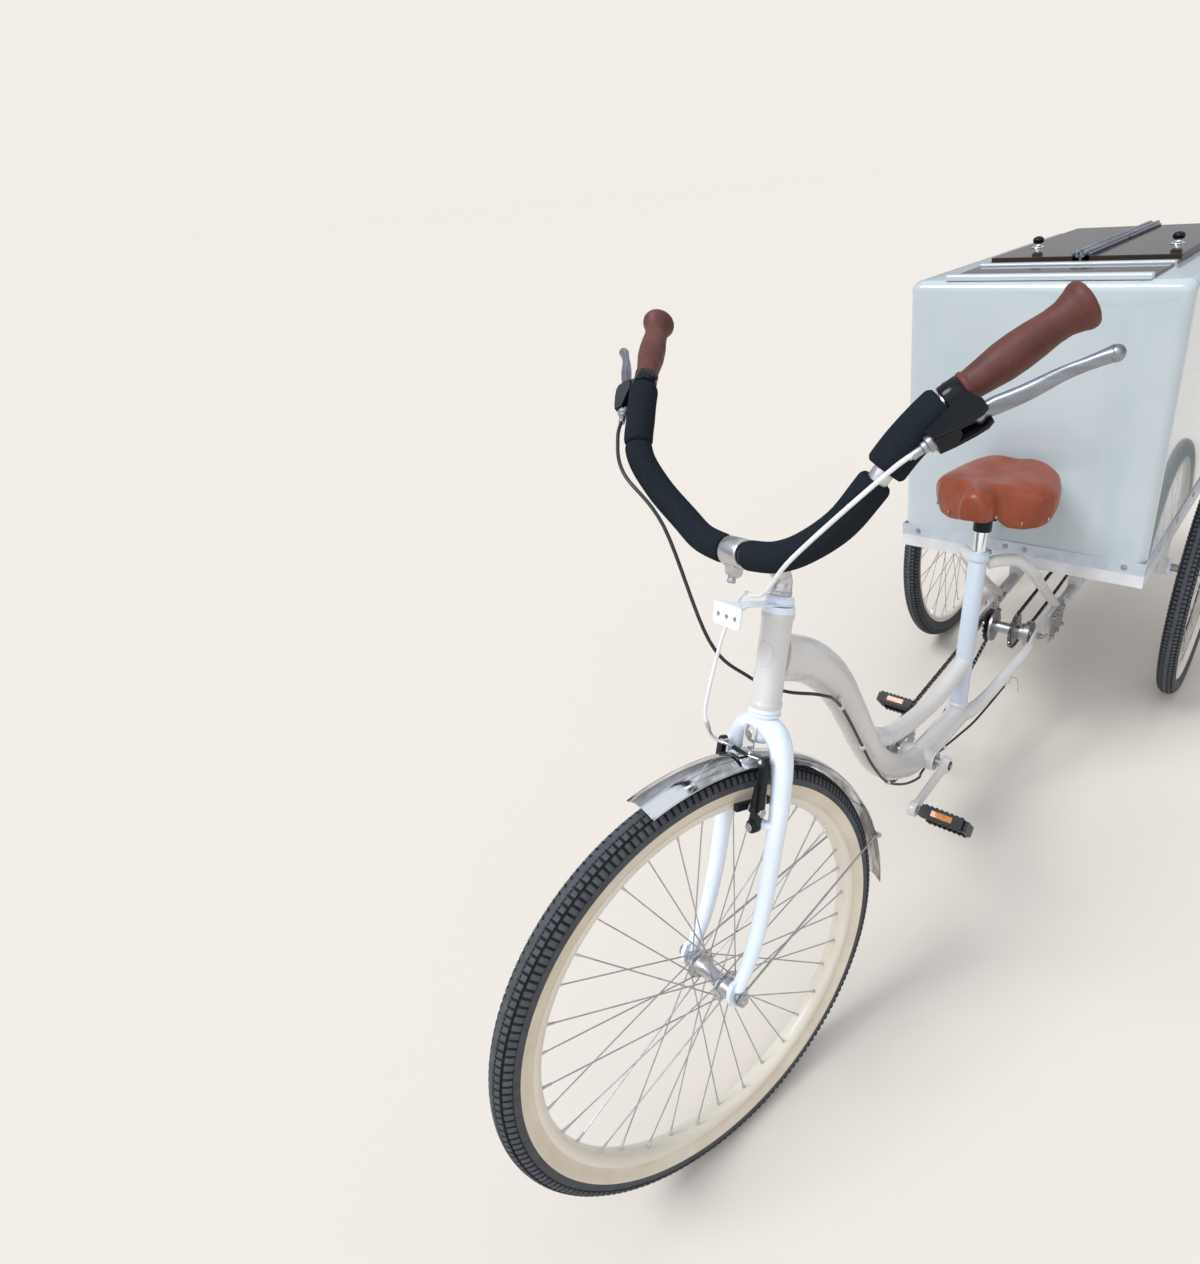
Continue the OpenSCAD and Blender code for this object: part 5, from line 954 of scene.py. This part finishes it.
# Saddle: padded leather with a bulb of a nose, two lobes behind it and hanging side flaps
def build_saddle():
    y0, length, mid = 872, 258, 716
    n, m = 86, 56
    pts = []
    for i in range(n + 1):
        t = i / n
        w = np.interp(t, [0.06, 0.1, 0.17, 0.21, 0.26, 0.3, 0.36, 0.44, 0.5, 0.6, 0.72, 0.85, 0.94,
                          0.98, 1],
                      [31, 34.5, 36, 40, 62, 84, 110, 125, 127, 123, 115, 102, 80, 62, 42])
        top = np.interp(t, [0.06, 0.1, 0.2, 0.36, 0.6, 0.9, 0.96, 1],
                        [758, 766, 768, 760, 760, 764, 757, 738])
        low = np.interp(t, [0, 0.05, 0.19, 0.24, 0.3, 0.4, 0.6, 0.9, 1],
                        [704, 701, 699, 676, 670, 674, 692, 712, 722])
        if t < 0.06:
            q = math.sqrt(1 - (1 - t / 0.06) ** 2)
            w, top = 6 + 25 * q, 722 + 36 * q
        flat = np.interp(t, [0, 0.2, 0.4, 1], [1.0, 1.0, 0.72, 0.72])
        for k in range(m + 1):
            e = -1 + 2 * k / m
            a = abs(e)
            if a < 0.66:
                q = a / 0.66 * PI / 2
                x = w * math.sin(q) ** flat
                z = mid + (top - mid) * math.cos(q) ** flat
                dip = min(1, max(0, (t - 0.22) / 0.2)) * min(1, (1 - t) / 0.12)
                z -= 9 * dip * math.exp(-(x / 22) ** 2)
            else:
                q = (a - 0.66) / 0.34
                x = w * (1 - 0.07 * q * q)
                z = mid + (low - mid) * q
            pts.append((math.copysign(x, e), y0 + length * t, z))
    pts = np.array(pts)
    faces = grid_faces(n + 1, m + 1, close_cols=False)
    faces.append(list(range(m, -1, -1)))
    faces.append([n * (m + 1) + k for k in range(m + 1)])
    mesh = bpy.data.meshes.new("saddle_cover")
    mesh.from_pydata(cycle(pts).tolist(), [], faces)
    mesh.materials.append(M["leather"])
    mesh.materials.append(M["black"])
    mesh.validate()
    o = bpy.data.objects.new("saddle_cover", mesh)
    bpy.context.scene.collection.objects.link(o)
    s = o.modifiers.new("thickness", "SOLIDIFY")
    s.thickness, s.offset = 0.0045, -1
    s.material_offset = 1
    s.material_offset_rim = 0
    s = o.modifiers.new("smooth", "SUBSURF")
    s.levels = s.render_levels = 1
    mesh.shade_smooth()
    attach(o, "seat")
    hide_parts("saddle")
    # Rivets along the lower edge of the flaps
    f = Form("brass")
    for t, q in ((0.17, 0.75), (0.29, 0.72), (0.42, 0.7), (0.68, 0.66), (0.88, 0.6)):
        i = int(round(t * n))
        for s in (-1, 1):
            k = int(round((s * (0.66 + 0.34 * q) + 1) / 2 * m))
            p = pts[i * (m + 1) + k]
            f.add(ball(p + [s * 0.4, 0, 0], 4.4, 16, (0.5, 1, 1)))
    f.make("saddle_rivets", "seat", "tan_leather", cycle)
    f = Form("gloss_black", "steel")
    for sx in (-1, 1):
        rail = smooth([(sx * 14, 917, 737), (sx * 14, 917.5, 726), (sx * 17, 925, 710),
                       (sx * 22, 948, 701), (sx * 22, 992, 701), (sx * 22, 1037, 701),
                       (sx * 30, 1068, 711), (sx * 38, 1083, 727), (sx * 38, 1083.5, 737)], 8)
        f.add(tube(rail, 3.5, 20), 1)
    top = SEAT_TOP + 76 * SEAT_DIR
    f.add(cyl(top - 30 * SEAT_DIR, top + 6 * SEAT_DIR, 19, 40, 2), 0)
    f.add(brick((-31, top[1] - 16, 689), (31, top[1] + 16, 709)), 0)
    f.add(cyl((-39, top[1], 699), (39, top[1], 699), 5.5, 24), 1)
    for sx in (-1, 1):
        f.add(disc((sx * 32, top[1], 699), 13, 6, 40, soft=1.5), 0)
        f.add(cyl((sx * 35, top[1], 699), (sx * 40, top[1], 699), 8.2, 6, 1), 1)
    f.make("saddle_clamp", "seat", "steel", cycle, ["saddle_rails"], bevel=1.2)
    f = Form("chrome")
    f.add(cyl(SEAT_TOP - 150 * SEAT_DIR, top, 13.6, 56, 0.8, 11.1))
    f.make("post", "seat", "chrome", cycle, ["seatpost"])
    # Collar in the bluish copy of the frame paint, painted blue light
    f = Form("painted_blue_light", "steel")
    low = SEAT_TOP - 14 * SEAT_DIR
    f.add(cyl(low, SEAT_TOP + 1 * SEAT_DIR, 22.4, 56, 1.2, 19.05), 0)
    f.add(cyl(SEAT_TOP + 0.6 * SEAT_DIR, SEAT_TOP + 4.6 * SEAT_DIR, 21, 56, 1, 13.75), 0)
    for sx in (-1, 1):
        f.add(brick((sx * 1, low[1] + 19, low[2] + 1), (sx * 9, low[1] + 32, low[2] + 15)), 0)
    f.add(cyl((-15, low[1] + 28, low[2] + 8), (15, low[1] + 28, low[2] + 8), 3.8, 24), 1)
    f.add(cyl((11, low[1] + 28, low[2] + 8), (16, low[1] + 28, low[2] + 8), 5.5, 6, 0.6), 1)
    f.make("seat_collar", "frame", "white_paint", cycle, ["seat_clamp"], bevel=0.6)


# Chains: outer and inner plates in turn with rollers between
def belt(c1, r1, c2, r2, sag):
    """Closed line round two circles, with a sag in its lower run."""
    c1, c2 = np.array(c1, float), np.array(c2, float)
    d = c2 - c1
    base = math.atan2(d[1], d[0])
    wrap = math.acos((r1 - r2) / np.linalg.norm(d))

    def pol(r, a):
        return r * np.array([math.cos(a), math.sin(a)])
    low1, low2 = c1 + pol(r1, base - wrap), c2 + pol(r2, base - wrap)
    out = [c1 + pol(r1, base + wrap)]
    out += [c2 + pol(r2, base + wrap - 2 * wrap * i / 48) for i in range(49)]
    out += [low2 + (low1 - low2) * i / 30 - np.array([0,
                                                      4 * sag * i / 30 * (1 - i / 30)]) for i in range(1, 30)]
    out += [c1 + pol(r1, base - wrap - (2 * PI - 2 * wrap) * i / 64) for i in range(65)]
    return np.array(out)


def pitch_r(teeth):
    """Radius that the chain's pins run on."""
    return PITCH / (2 * math.sin(PI / teeth))


def build_chain(name, node, x, c1, r1, c2, r2, sag):
    loop = belt(c1, r1, c2, r2, sag)
    p3 = np.concatenate([np.zeros((len(loop), 1)), loop], 1)
    total = runs(p3)[-1]
    links = 2 * round(total / PITCH / 2)
    pins = part_of(p3, 0, total, links)[:-1]
    f = Form("chain", "steel")
    for i in range(links):
        a, b = pins[i], pins[(i + 1) % links]
        d = unit(b - a)
        w = np.array([0, -d[2], d[1]])
        length = np.linalg.norm(b - a)
        outline = []
        for k in range(9):
            q = PI / 2 + PI * k / 8
            outline.append((4.0 * math.cos(q), 4.0 * math.sin(q)))
        outline.append((length / 2, -2.9))
        for k in range(9):
            q = -PI / 2 + PI * k / 8
            outline.append((length + 4.0 * math.cos(q), 4.0 * math.sin(q)))
        outline.append((length / 2, 2.9))
        off = 2.9 if i % 2 else 2.15
        for sx in (-1, 1):
            f.add(prism(outline, a + [sx * off + x, 0, 0], d, w, 0.75))
        f.add(cyl(a + [x - 3.4, 0, 0], a + [x + 3.4, 0, 0], 1.7, 10, 0.3), 1)
        on_ring = min(abs(np.linalg.norm(a[1:] - c1) - r1), abs(np.linalg.norm(a[1:] - c2) - r2)) < 1.2
        if not on_ring:
            f.add(cyl(a + [x - 1.7, 0, 0], a + [x + 1.7, 0, 0], 3.8, 14, 0.3))
    f.make(name, "frame", "dark_steel", cycle, [node], angle=40)


def build_drive():
    build_chain("links_front", "crank_chain", -45, (667, 266), pitch_r(36), JACK, pitch_r(18), 26)
    build_chain("links_rear", "rear_chain", 22, JACK, pitch_r(20), (WHEELBASE, REAR_R), pitch_r(20), 6)


PEDAL_TILT = -45
CRANK = math.radians(-8)
CRANK_TURN = turning(X, CRANK)


def crank(p):
    """Crank frame: the left crank points forward along -Y."""
    return cycle(arr(p) @ CRANK_TURN + BB)


ARM_X, CRANK_LEN = 59, 172
END_X = ARM_X + CRANK_LEN * math.sin(math.radians(4))


def build_cranks():
    f = Form("frame", "gloss_black", "steel")
    for way in (1, -1):
        solids = []
        spine = [(ARM_X + (END_X - ARM_X) * q, -way * CRANK_LEN * q, 0) for q in np.linspace(0, 1, 25)]
        solids.append((tube(spine, np.interp(np.linspace(0, 1, 25), [0, 0.2, 0.85, 1],
                                             [14, 11.5, 10, 11.5]), 32,
                            ref=(1, 0, 0), rv=np.interp(np.linspace(0, 1, 25), [0, 0.2, 1], [8, 6.6, 6]),
                            power=3.2), 0))
        solids.append((disc((ARM_X, 0, 0), 17, 18, 48, soft=2.5), 0))
        solids.append((disc((END_X, -way * CRANK_LEN, 0), 14, 17, 48, soft=2.5, bore=6.2), 0))
        solids.append((disc((ARM_X + 9.2, 0, 0), 9.5, 2.4, 36, soft=1), 1))
        solids.append((disc((ARM_X + 10.4, 0, 0), 4, 1.2, 6, soft=0.3), 2))
        for s, kind in solids:
            f.add(s, kind, side=way)
    star = []
    for k in range(5):
        a = math.radians(90 + 72 * k)
        for da, r in ((-0.34, 24), (-0.16, 38), (-0.14, 50), (0.0, 52.5), (0.14, 50), (0.16, 38),
                      (0.34, 24)):
            star.append((r * math.cos(a + da), r * math.sin(a + da)))
    f.add(long_plate(star, (-51, 0, 0), 4.6), 2)
    f.make("crank_set", "crankset", "white_paint", crank, ["crank_arms"], bevel=0.5)
    for way, body, node in ((1, "left_pedal_body", "left_pedal"),
                            (-1, "right_pedal_body", "right_pedal")):
        f = Form("black", "amber", "steel")
        x0 = END_X + 8.5 + 0.5 + 5.5
        solids = [(cyl((END_X - 8, 0, 0), (x0 + 4, 0, 0), 6, 32), 2),
                  (disc((x0 - 3.2, 0, 0), 9, 5, 6), 2)]
        tilt = turning(X, math.radians(PEDAL_TILT))

        def body_pt(s):
            return s[0] @ tilt + [x0, 0, 0], s[1]
        core = [cyl((0, 0, 0), (94, 0, 0), 9.5, 32, 2), brick((0, -12, -9), (14, 12, 9))]
        for m in (-1, 1):
            core.append(brick((8, m * 20, -11), (88, m * 31, 11)))
            for k in range(8):
                xk = 14 + 9.6 * k
                for h in (-1, 1):
                    core.append(brick((xk, m * 20, h * 11), (xk + 4, m * 31.5, h * 12.8)))
        for xk in (8, 46, 84):
            core.append(brick((xk, -24, -7), (xk + 6, 24, 7)))
        core.append(brick((86, -24, -10), (95, 24, 10)))
        solids += [(body_pt(s), 0) for s in core]
        for m in (-1, 1):
            solids.append((body_pt(brick((28, m * 30.4, -5.5), (68, m * 32, 5.5))), 1))
        for s, kind in solids:
            f.add((s[0] + [0, -way * CRANK_LEN, 0], s[1]), kind, side=way)
        f.make(node + "_shape", body, "black_plastic", crank, [node], bevel=0.9)


# Box: glossy moulded shell with large soft edges
def build_box():
    half_x, half_y, z0, z1 = BOX_HALF_X, BOX_HALF_Y, BOX_FOOT, BOX_TOP
    taper, rc, rt = 4, 24, 20
    levels = [z0] + [z0 + (z1 - rt - z0) * q for q in np.linspace(0.02, 1, 24)]
    prof = [(z, taper * (z - z0) / (z1 - z0)) for z in levels]
    prof += [(z1 - rt + rt * math.sin(a),
              taper + rt * (1 - math.cos(a))) for a in np.radians(np.arange(9, 91, 9))]

    def ring(inset, r, n=12):
        return round_rect(2 * (half_x - inset), 2 * (half_y - inset), r, n)
    pts = []
    for z, inset in prof:
        r = max(rc - 0.35 * inset, 16)
        pts.append([(x, y + WHEELBASE, z) for x, y in ring(inset, r)])
    cols = len(pts[0])
    # Flat rim round the lids' opening, then down into the well
    inner = []
    for x, y in ring(0, 1):
        inner.append((max(-184, min(184, x)), max(-212, min(404, y)) + WHEELBASE, z1))
    pts.append(inner)
    pts.append([(x, y, z1 - 60) for x, y, _ in inner])
    rows = len(pts)
    flat = np.array(pts).reshape(-1, 3)
    faces = grid_faces(rows, cols)
    mesh = bpy.data.meshes.new("box_body")
    mesh.from_pydata(cycle(flat).tolist(), [], faces)
    mesh.materials.append(M["box"])
    mesh.shade_smooth()
    mesh.set_sharp_from_angle(angle=math.radians(50))
    o = bpy.data.objects.new("box_body", mesh)
    bpy.context.scene.collection.objects.link(o)
    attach(o, "frame")
    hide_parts("box_shell")
    f = Form("box", "lid", "brushed")

    def bar(y0, y1, h, half=198, r=5):
        poly = [(y0, 0), (y1, 0)]
        poly += [(y1 - r + r * math.cos(a), h - r + r * math.sin(a)) for a in np.radians(range(0, 91,
                                                                                               15))]
        poly += [(y0 + r + r * math.cos(a), h - r + r * math.sin(a)) for a in np.radians(range(90, 181,
                                                                                               15))]
        return long_plate(poly, (0, 0, z1), 2 * half)
    f.add(bar(1162, 1186, 11, 198, 5), 0)
    f.add(bar(1186.5, 1350 - 6, 5, 198, 1), 1)
    f.add(bar(1345, 1372, 9, 198, 4), 0)
    f.add(bar(1372.5, 1403, 6, 198, 1), 1)
    f.add(bar(2047, 2088, 11, 198, 4), 0)
    f.add(brick((-3, 1403, z1), (3, 2047, z1 + 20)), 2)
    for y in (1403, 1725, 2047):
        for sx in (-1, 1):
            f.add(brick((sx * 3, y - 6, z1 + 12), (sx * 9, y + 6, z1 + 17)), 2)
            f.add(cyl((sx * 9, y - 6, z1 + 20), (sx * 9, y + 6, z1 + 20), 5, 24), 2)
    for sx in (-1, 1):
        f.add(cyl((sx * 9, 1398, z1 + 20), (sx * 9, 2052, z1 + 20), 2.5, 16), 2)
    f.make("box_deck", "frame", "fibreglass", cycle, ["box_top"], bevel=0.8)
    for side, body, node in ((1, "left_lid_body", "left_lid"), (-1, "right_lid_body", "right_lid")):
        f = Form("lid", "chrome", "brushed", "gloss_black")
        solids = [(prism(round_rect(182, 640, 5), (107, 1725, z1 + 7.3), (1, 0, 0), (0, 1, 0), 13.6), 0)]
        for y0, y1 in ((1411, 1717), (1733, 2039)):
            solids.append((cyl((9, y0, z1 + 20), (9, y1, z1 + 20), 5.5, 24, 0.8, 2.6), 2))
            solids.append((brick((9, y0, z1 + 14.5), (21, y1, z1 + 19.5)), 2))
            solids.append((brick((16, y0, z1 + 2.3), (21, y1, z1 + 17.3)), 2))
        knob = (153, 1585, z1 + 14)
        solids.append((lathe([(0.1, 0), (15, 0), (15.5, 1), (14, 3), (9, 4.5), (8, 8), (9, 11),
                              (0.1, 11)], knob,
                             (0, 0, 1), 40), 1))
        dome = [(0.1, 10.6), (11.6, 10.6)] + [(13 * math.cos(a), 16 + 9 * math.sin(a))
                                              for a in np.radians(range(-30, 90, 10))] + [(0.1, 25)]
        solids.append((lathe(dome, knob, (0, 0, 1), 40), 3))
        for s, kind in solids:
            f.add(s, kind, side=side)
        f.make(node + "_panel", body, "lid_dark", cycle, [node], bevel=1.0)
    f = Form("trim", "steel")
    hx, hy, zt = BOX_HALF_X + TRIM, BOX_HALF_Y + TRIM, BOX_FOOT - TRIM
    for s, lo, hi in ((0, (-hx, WHEELBASE - hy, zt), (hx, WHEELBASE - hy + 2.5, zt + 28)),
                      (0, (-hx, WHEELBASE + hy - 2.5, zt), (hx, WHEELBASE + hy, zt + 28)),
                      (0, (-hx, WHEELBASE - hy + 2.5, zt), (-hx + 2.5, WHEELBASE + hy - 2.5, zt + 28)),
                      (0, (hx - 2.5, WHEELBASE - hy + 2.5, zt), (hx, WHEELBASE + hy - 2.5, zt + 28))):
        f.add(brick(lo, hi), 0)
    for lo, hi in (((-hx + 2.5, WHEELBASE - hy + 2.5, zt), (hx - 2.5, WHEELBASE - hy + 24, zt + 2.4)),
                   ((-hx + 2.5, WHEELBASE + hy - 24, zt), (hx - 2.5, WHEELBASE + hy - 2.5, zt + 2.4)),
                   ((-hx + 2.5, WHEELBASE - hy + 24, zt), (-hx + 24, WHEELBASE + hy - 24, zt + 2.4)),
                   ((hx - 24, WHEELBASE - hy + 24, zt), (hx - 2.5, WHEELBASE + hy - 24, zt + 2.4))):
        f.add(brick(lo, hi), 0)
    for k in range(-2, 3):
        for sx in (-1, 1):
            c = np.array((sx * hx, WHEELBASE + 180 * k, zt + 14))
            f.add(cyl(c, c + [sx * 2.8, 0, 0], 5, 6, 0.6), 1)
            f.add(cyl(c, c + [sx * 0.9, 0, 0], 7, 24, 0.3), 1)
    for x in (-240, -20, 24, 240):
        for sy in (-1, 1):
            c = np.array((x, WHEELBASE + sy * hy, zt + 14))
            f.add(cyl(c, c + [0, sy * 2.4, 0], 5, 6, 0.6), 1)
            f.add(cyl(c, c + [0, sy * 0.8, 0], 7, 24, 0.3), 1)
    f.make("trim_angle", "frame", "alloy", cycle, ["box_trim"], bevel=0.5)


build_cables()
build_bar()
build_levers()
build_wheels()
build_fork()
build_brakes()
build_mudguard()
build_head()
build_stem()
build_frame()
build_saddle()
build_drive()
build_cranks()
build_box()

# Carried-over solids get their materials
for names, key in ((("rear_subframe", "box_frame"), "kit"),
                   (("axle_adaptors", "jackshaft_axle", "rear_axle", "crank_spindle", "chainring"),
                    "steel"),
                   (("bearing_cups",), "fork"), (("freewheel_cog",), "chain"),
                   (("jackshaft_hub",), "steel"), (("box_liner",), "liner")):
    for name in names:
        o = nodes[name]
        o.data.materials.clear()
        o.data.materials.append(M[key])
        for poly in o.data.polygons:
            poly.material_index = 0


# Floor, light and background
def build_stage():
    mesh = bpy.data.meshes.new("floor")
    s = 400
    mesh.from_pydata([(-s, -s, 0), (s, -s, 0), (s, s, 0), (-s, s, 0)], [], [(0, 1, 2, 3)])
    m = bpy.data.materials.new("floor_plain")
    m.use_nodes = True
    p = m.node_tree.nodes["Principled BSDF"]
    p.inputs["Base Color"].default_value = (0.69, 0.63, 0.565, 1)
    p.inputs["Roughness"].default_value = 0.9
    p.inputs["Specular IOR Level"].default_value = 0.1
    mesh.materials.append(m)
    floor = bpy.data.objects.new("floor", mesh)
    bpy.context.scene.collection.objects.link(floor)
    world = bpy.data.worlds.new("studio")
    world.use_nodes = True
    t = world.node_tree
    n, link = t.nodes, t.links.new
    bg = n["Background"]
    tc = n.new("ShaderNodeTexCoord")
    sep = n.new("ShaderNodeSeparateXYZ")
    link(tc.outputs["Generated"], sep.inputs["Vector"])
    # Bright overhead, greyer towards the horizon, with two dark upright panels for the metal to reflect
    height = n.new("ShaderNodeValToRGB")
    height.color_ramp.elements[0].position = 0.0
    height.color_ramp.elements[0].color = (0.34, 0.34, 0.36, 1)
    height.color_ramp.elements[1].position = 0.62
    height.color_ramp.elements[1].color = (0.90, 0.95, 1.02, 1)
    link(sep.outputs["Z"], height.inputs["Fac"])
    side = n.new("ShaderNodeValToRGB")
    for e, (pos, v) in zip([side.color_ramp.elements[0], side.color_ramp.elements[1]]
                           + [side.color_ramp.elements.new(q) for q in (0.2, 0.3, 0.7, 0.78)],
                           ((0.0, 1), (1.0, 1), (0.2, 0.35), (0.3, 1), (0.7, 1), (0.78, 0.4))):
        e.position = pos
        e.color = (v, v, v, 1)
    across = n.new("ShaderNodeMapRange")
    across.inputs["From Min"].default_value = -1
    link(sep.outputs["X"], across.inputs["Value"])
    link(across.outputs["Result"], side.inputs["Fac"])
    mix = n.new("ShaderNodeMix")
    mix.data_type = "RGBA"
    mix.blend_type = "MULTIPLY"
    mix.inputs["Factor"].default_value = 0.8
    link(height.outputs["Color"], mix.inputs["A"])
    link(side.outputs["Color"], mix.inputs["B"])
    path = n.new("ShaderNodeLightPath")
    seen = n.new("ShaderNodeMix")
    seen.data_type = "RGBA"
    seen.inputs["B"].default_value = (0.892, 0.852, 0.803, 1)
    link(path.outputs["Is Camera Ray"], seen.inputs["Factor"])
    link(mix.outputs["Result"], seen.inputs["A"])
    link(seen.outputs["Result"], bg.inputs["Color"])
    bg.inputs["Strength"].default_value = 1.0
    bpy.context.scene.world = world
    sun = bpy.data.lights.new("key", "SUN")
    sun.energy = 1.9
    sun.angle = math.radians(24)
    sun.color = (0.95, 0.98, 1.0)
    o = bpy.data.objects.new("key", sun)
    o.rotation_euler = Vector((0.38, 0.62, -1.0)).to_track_quat("-Z", "Y").to_euler()
    bpy.context.scene.collection.objects.link(o)
    fill = bpy.data.lights.new("fill", "SUN")
    fill.energy = 0.9
    fill.angle = math.radians(80)
    fill.color = (0.92, 0.96, 1.0)
    o = bpy.data.objects.new("fill", fill)
    o.rotation_euler = Vector((-0.35, 0.85, -0.45)).to_track_quat("-Z", "Y").to_euler()
    bpy.context.scene.collection.objects.link(o)
    bpy.context.scene.view_settings.view_transform = "Standard"


build_stage()
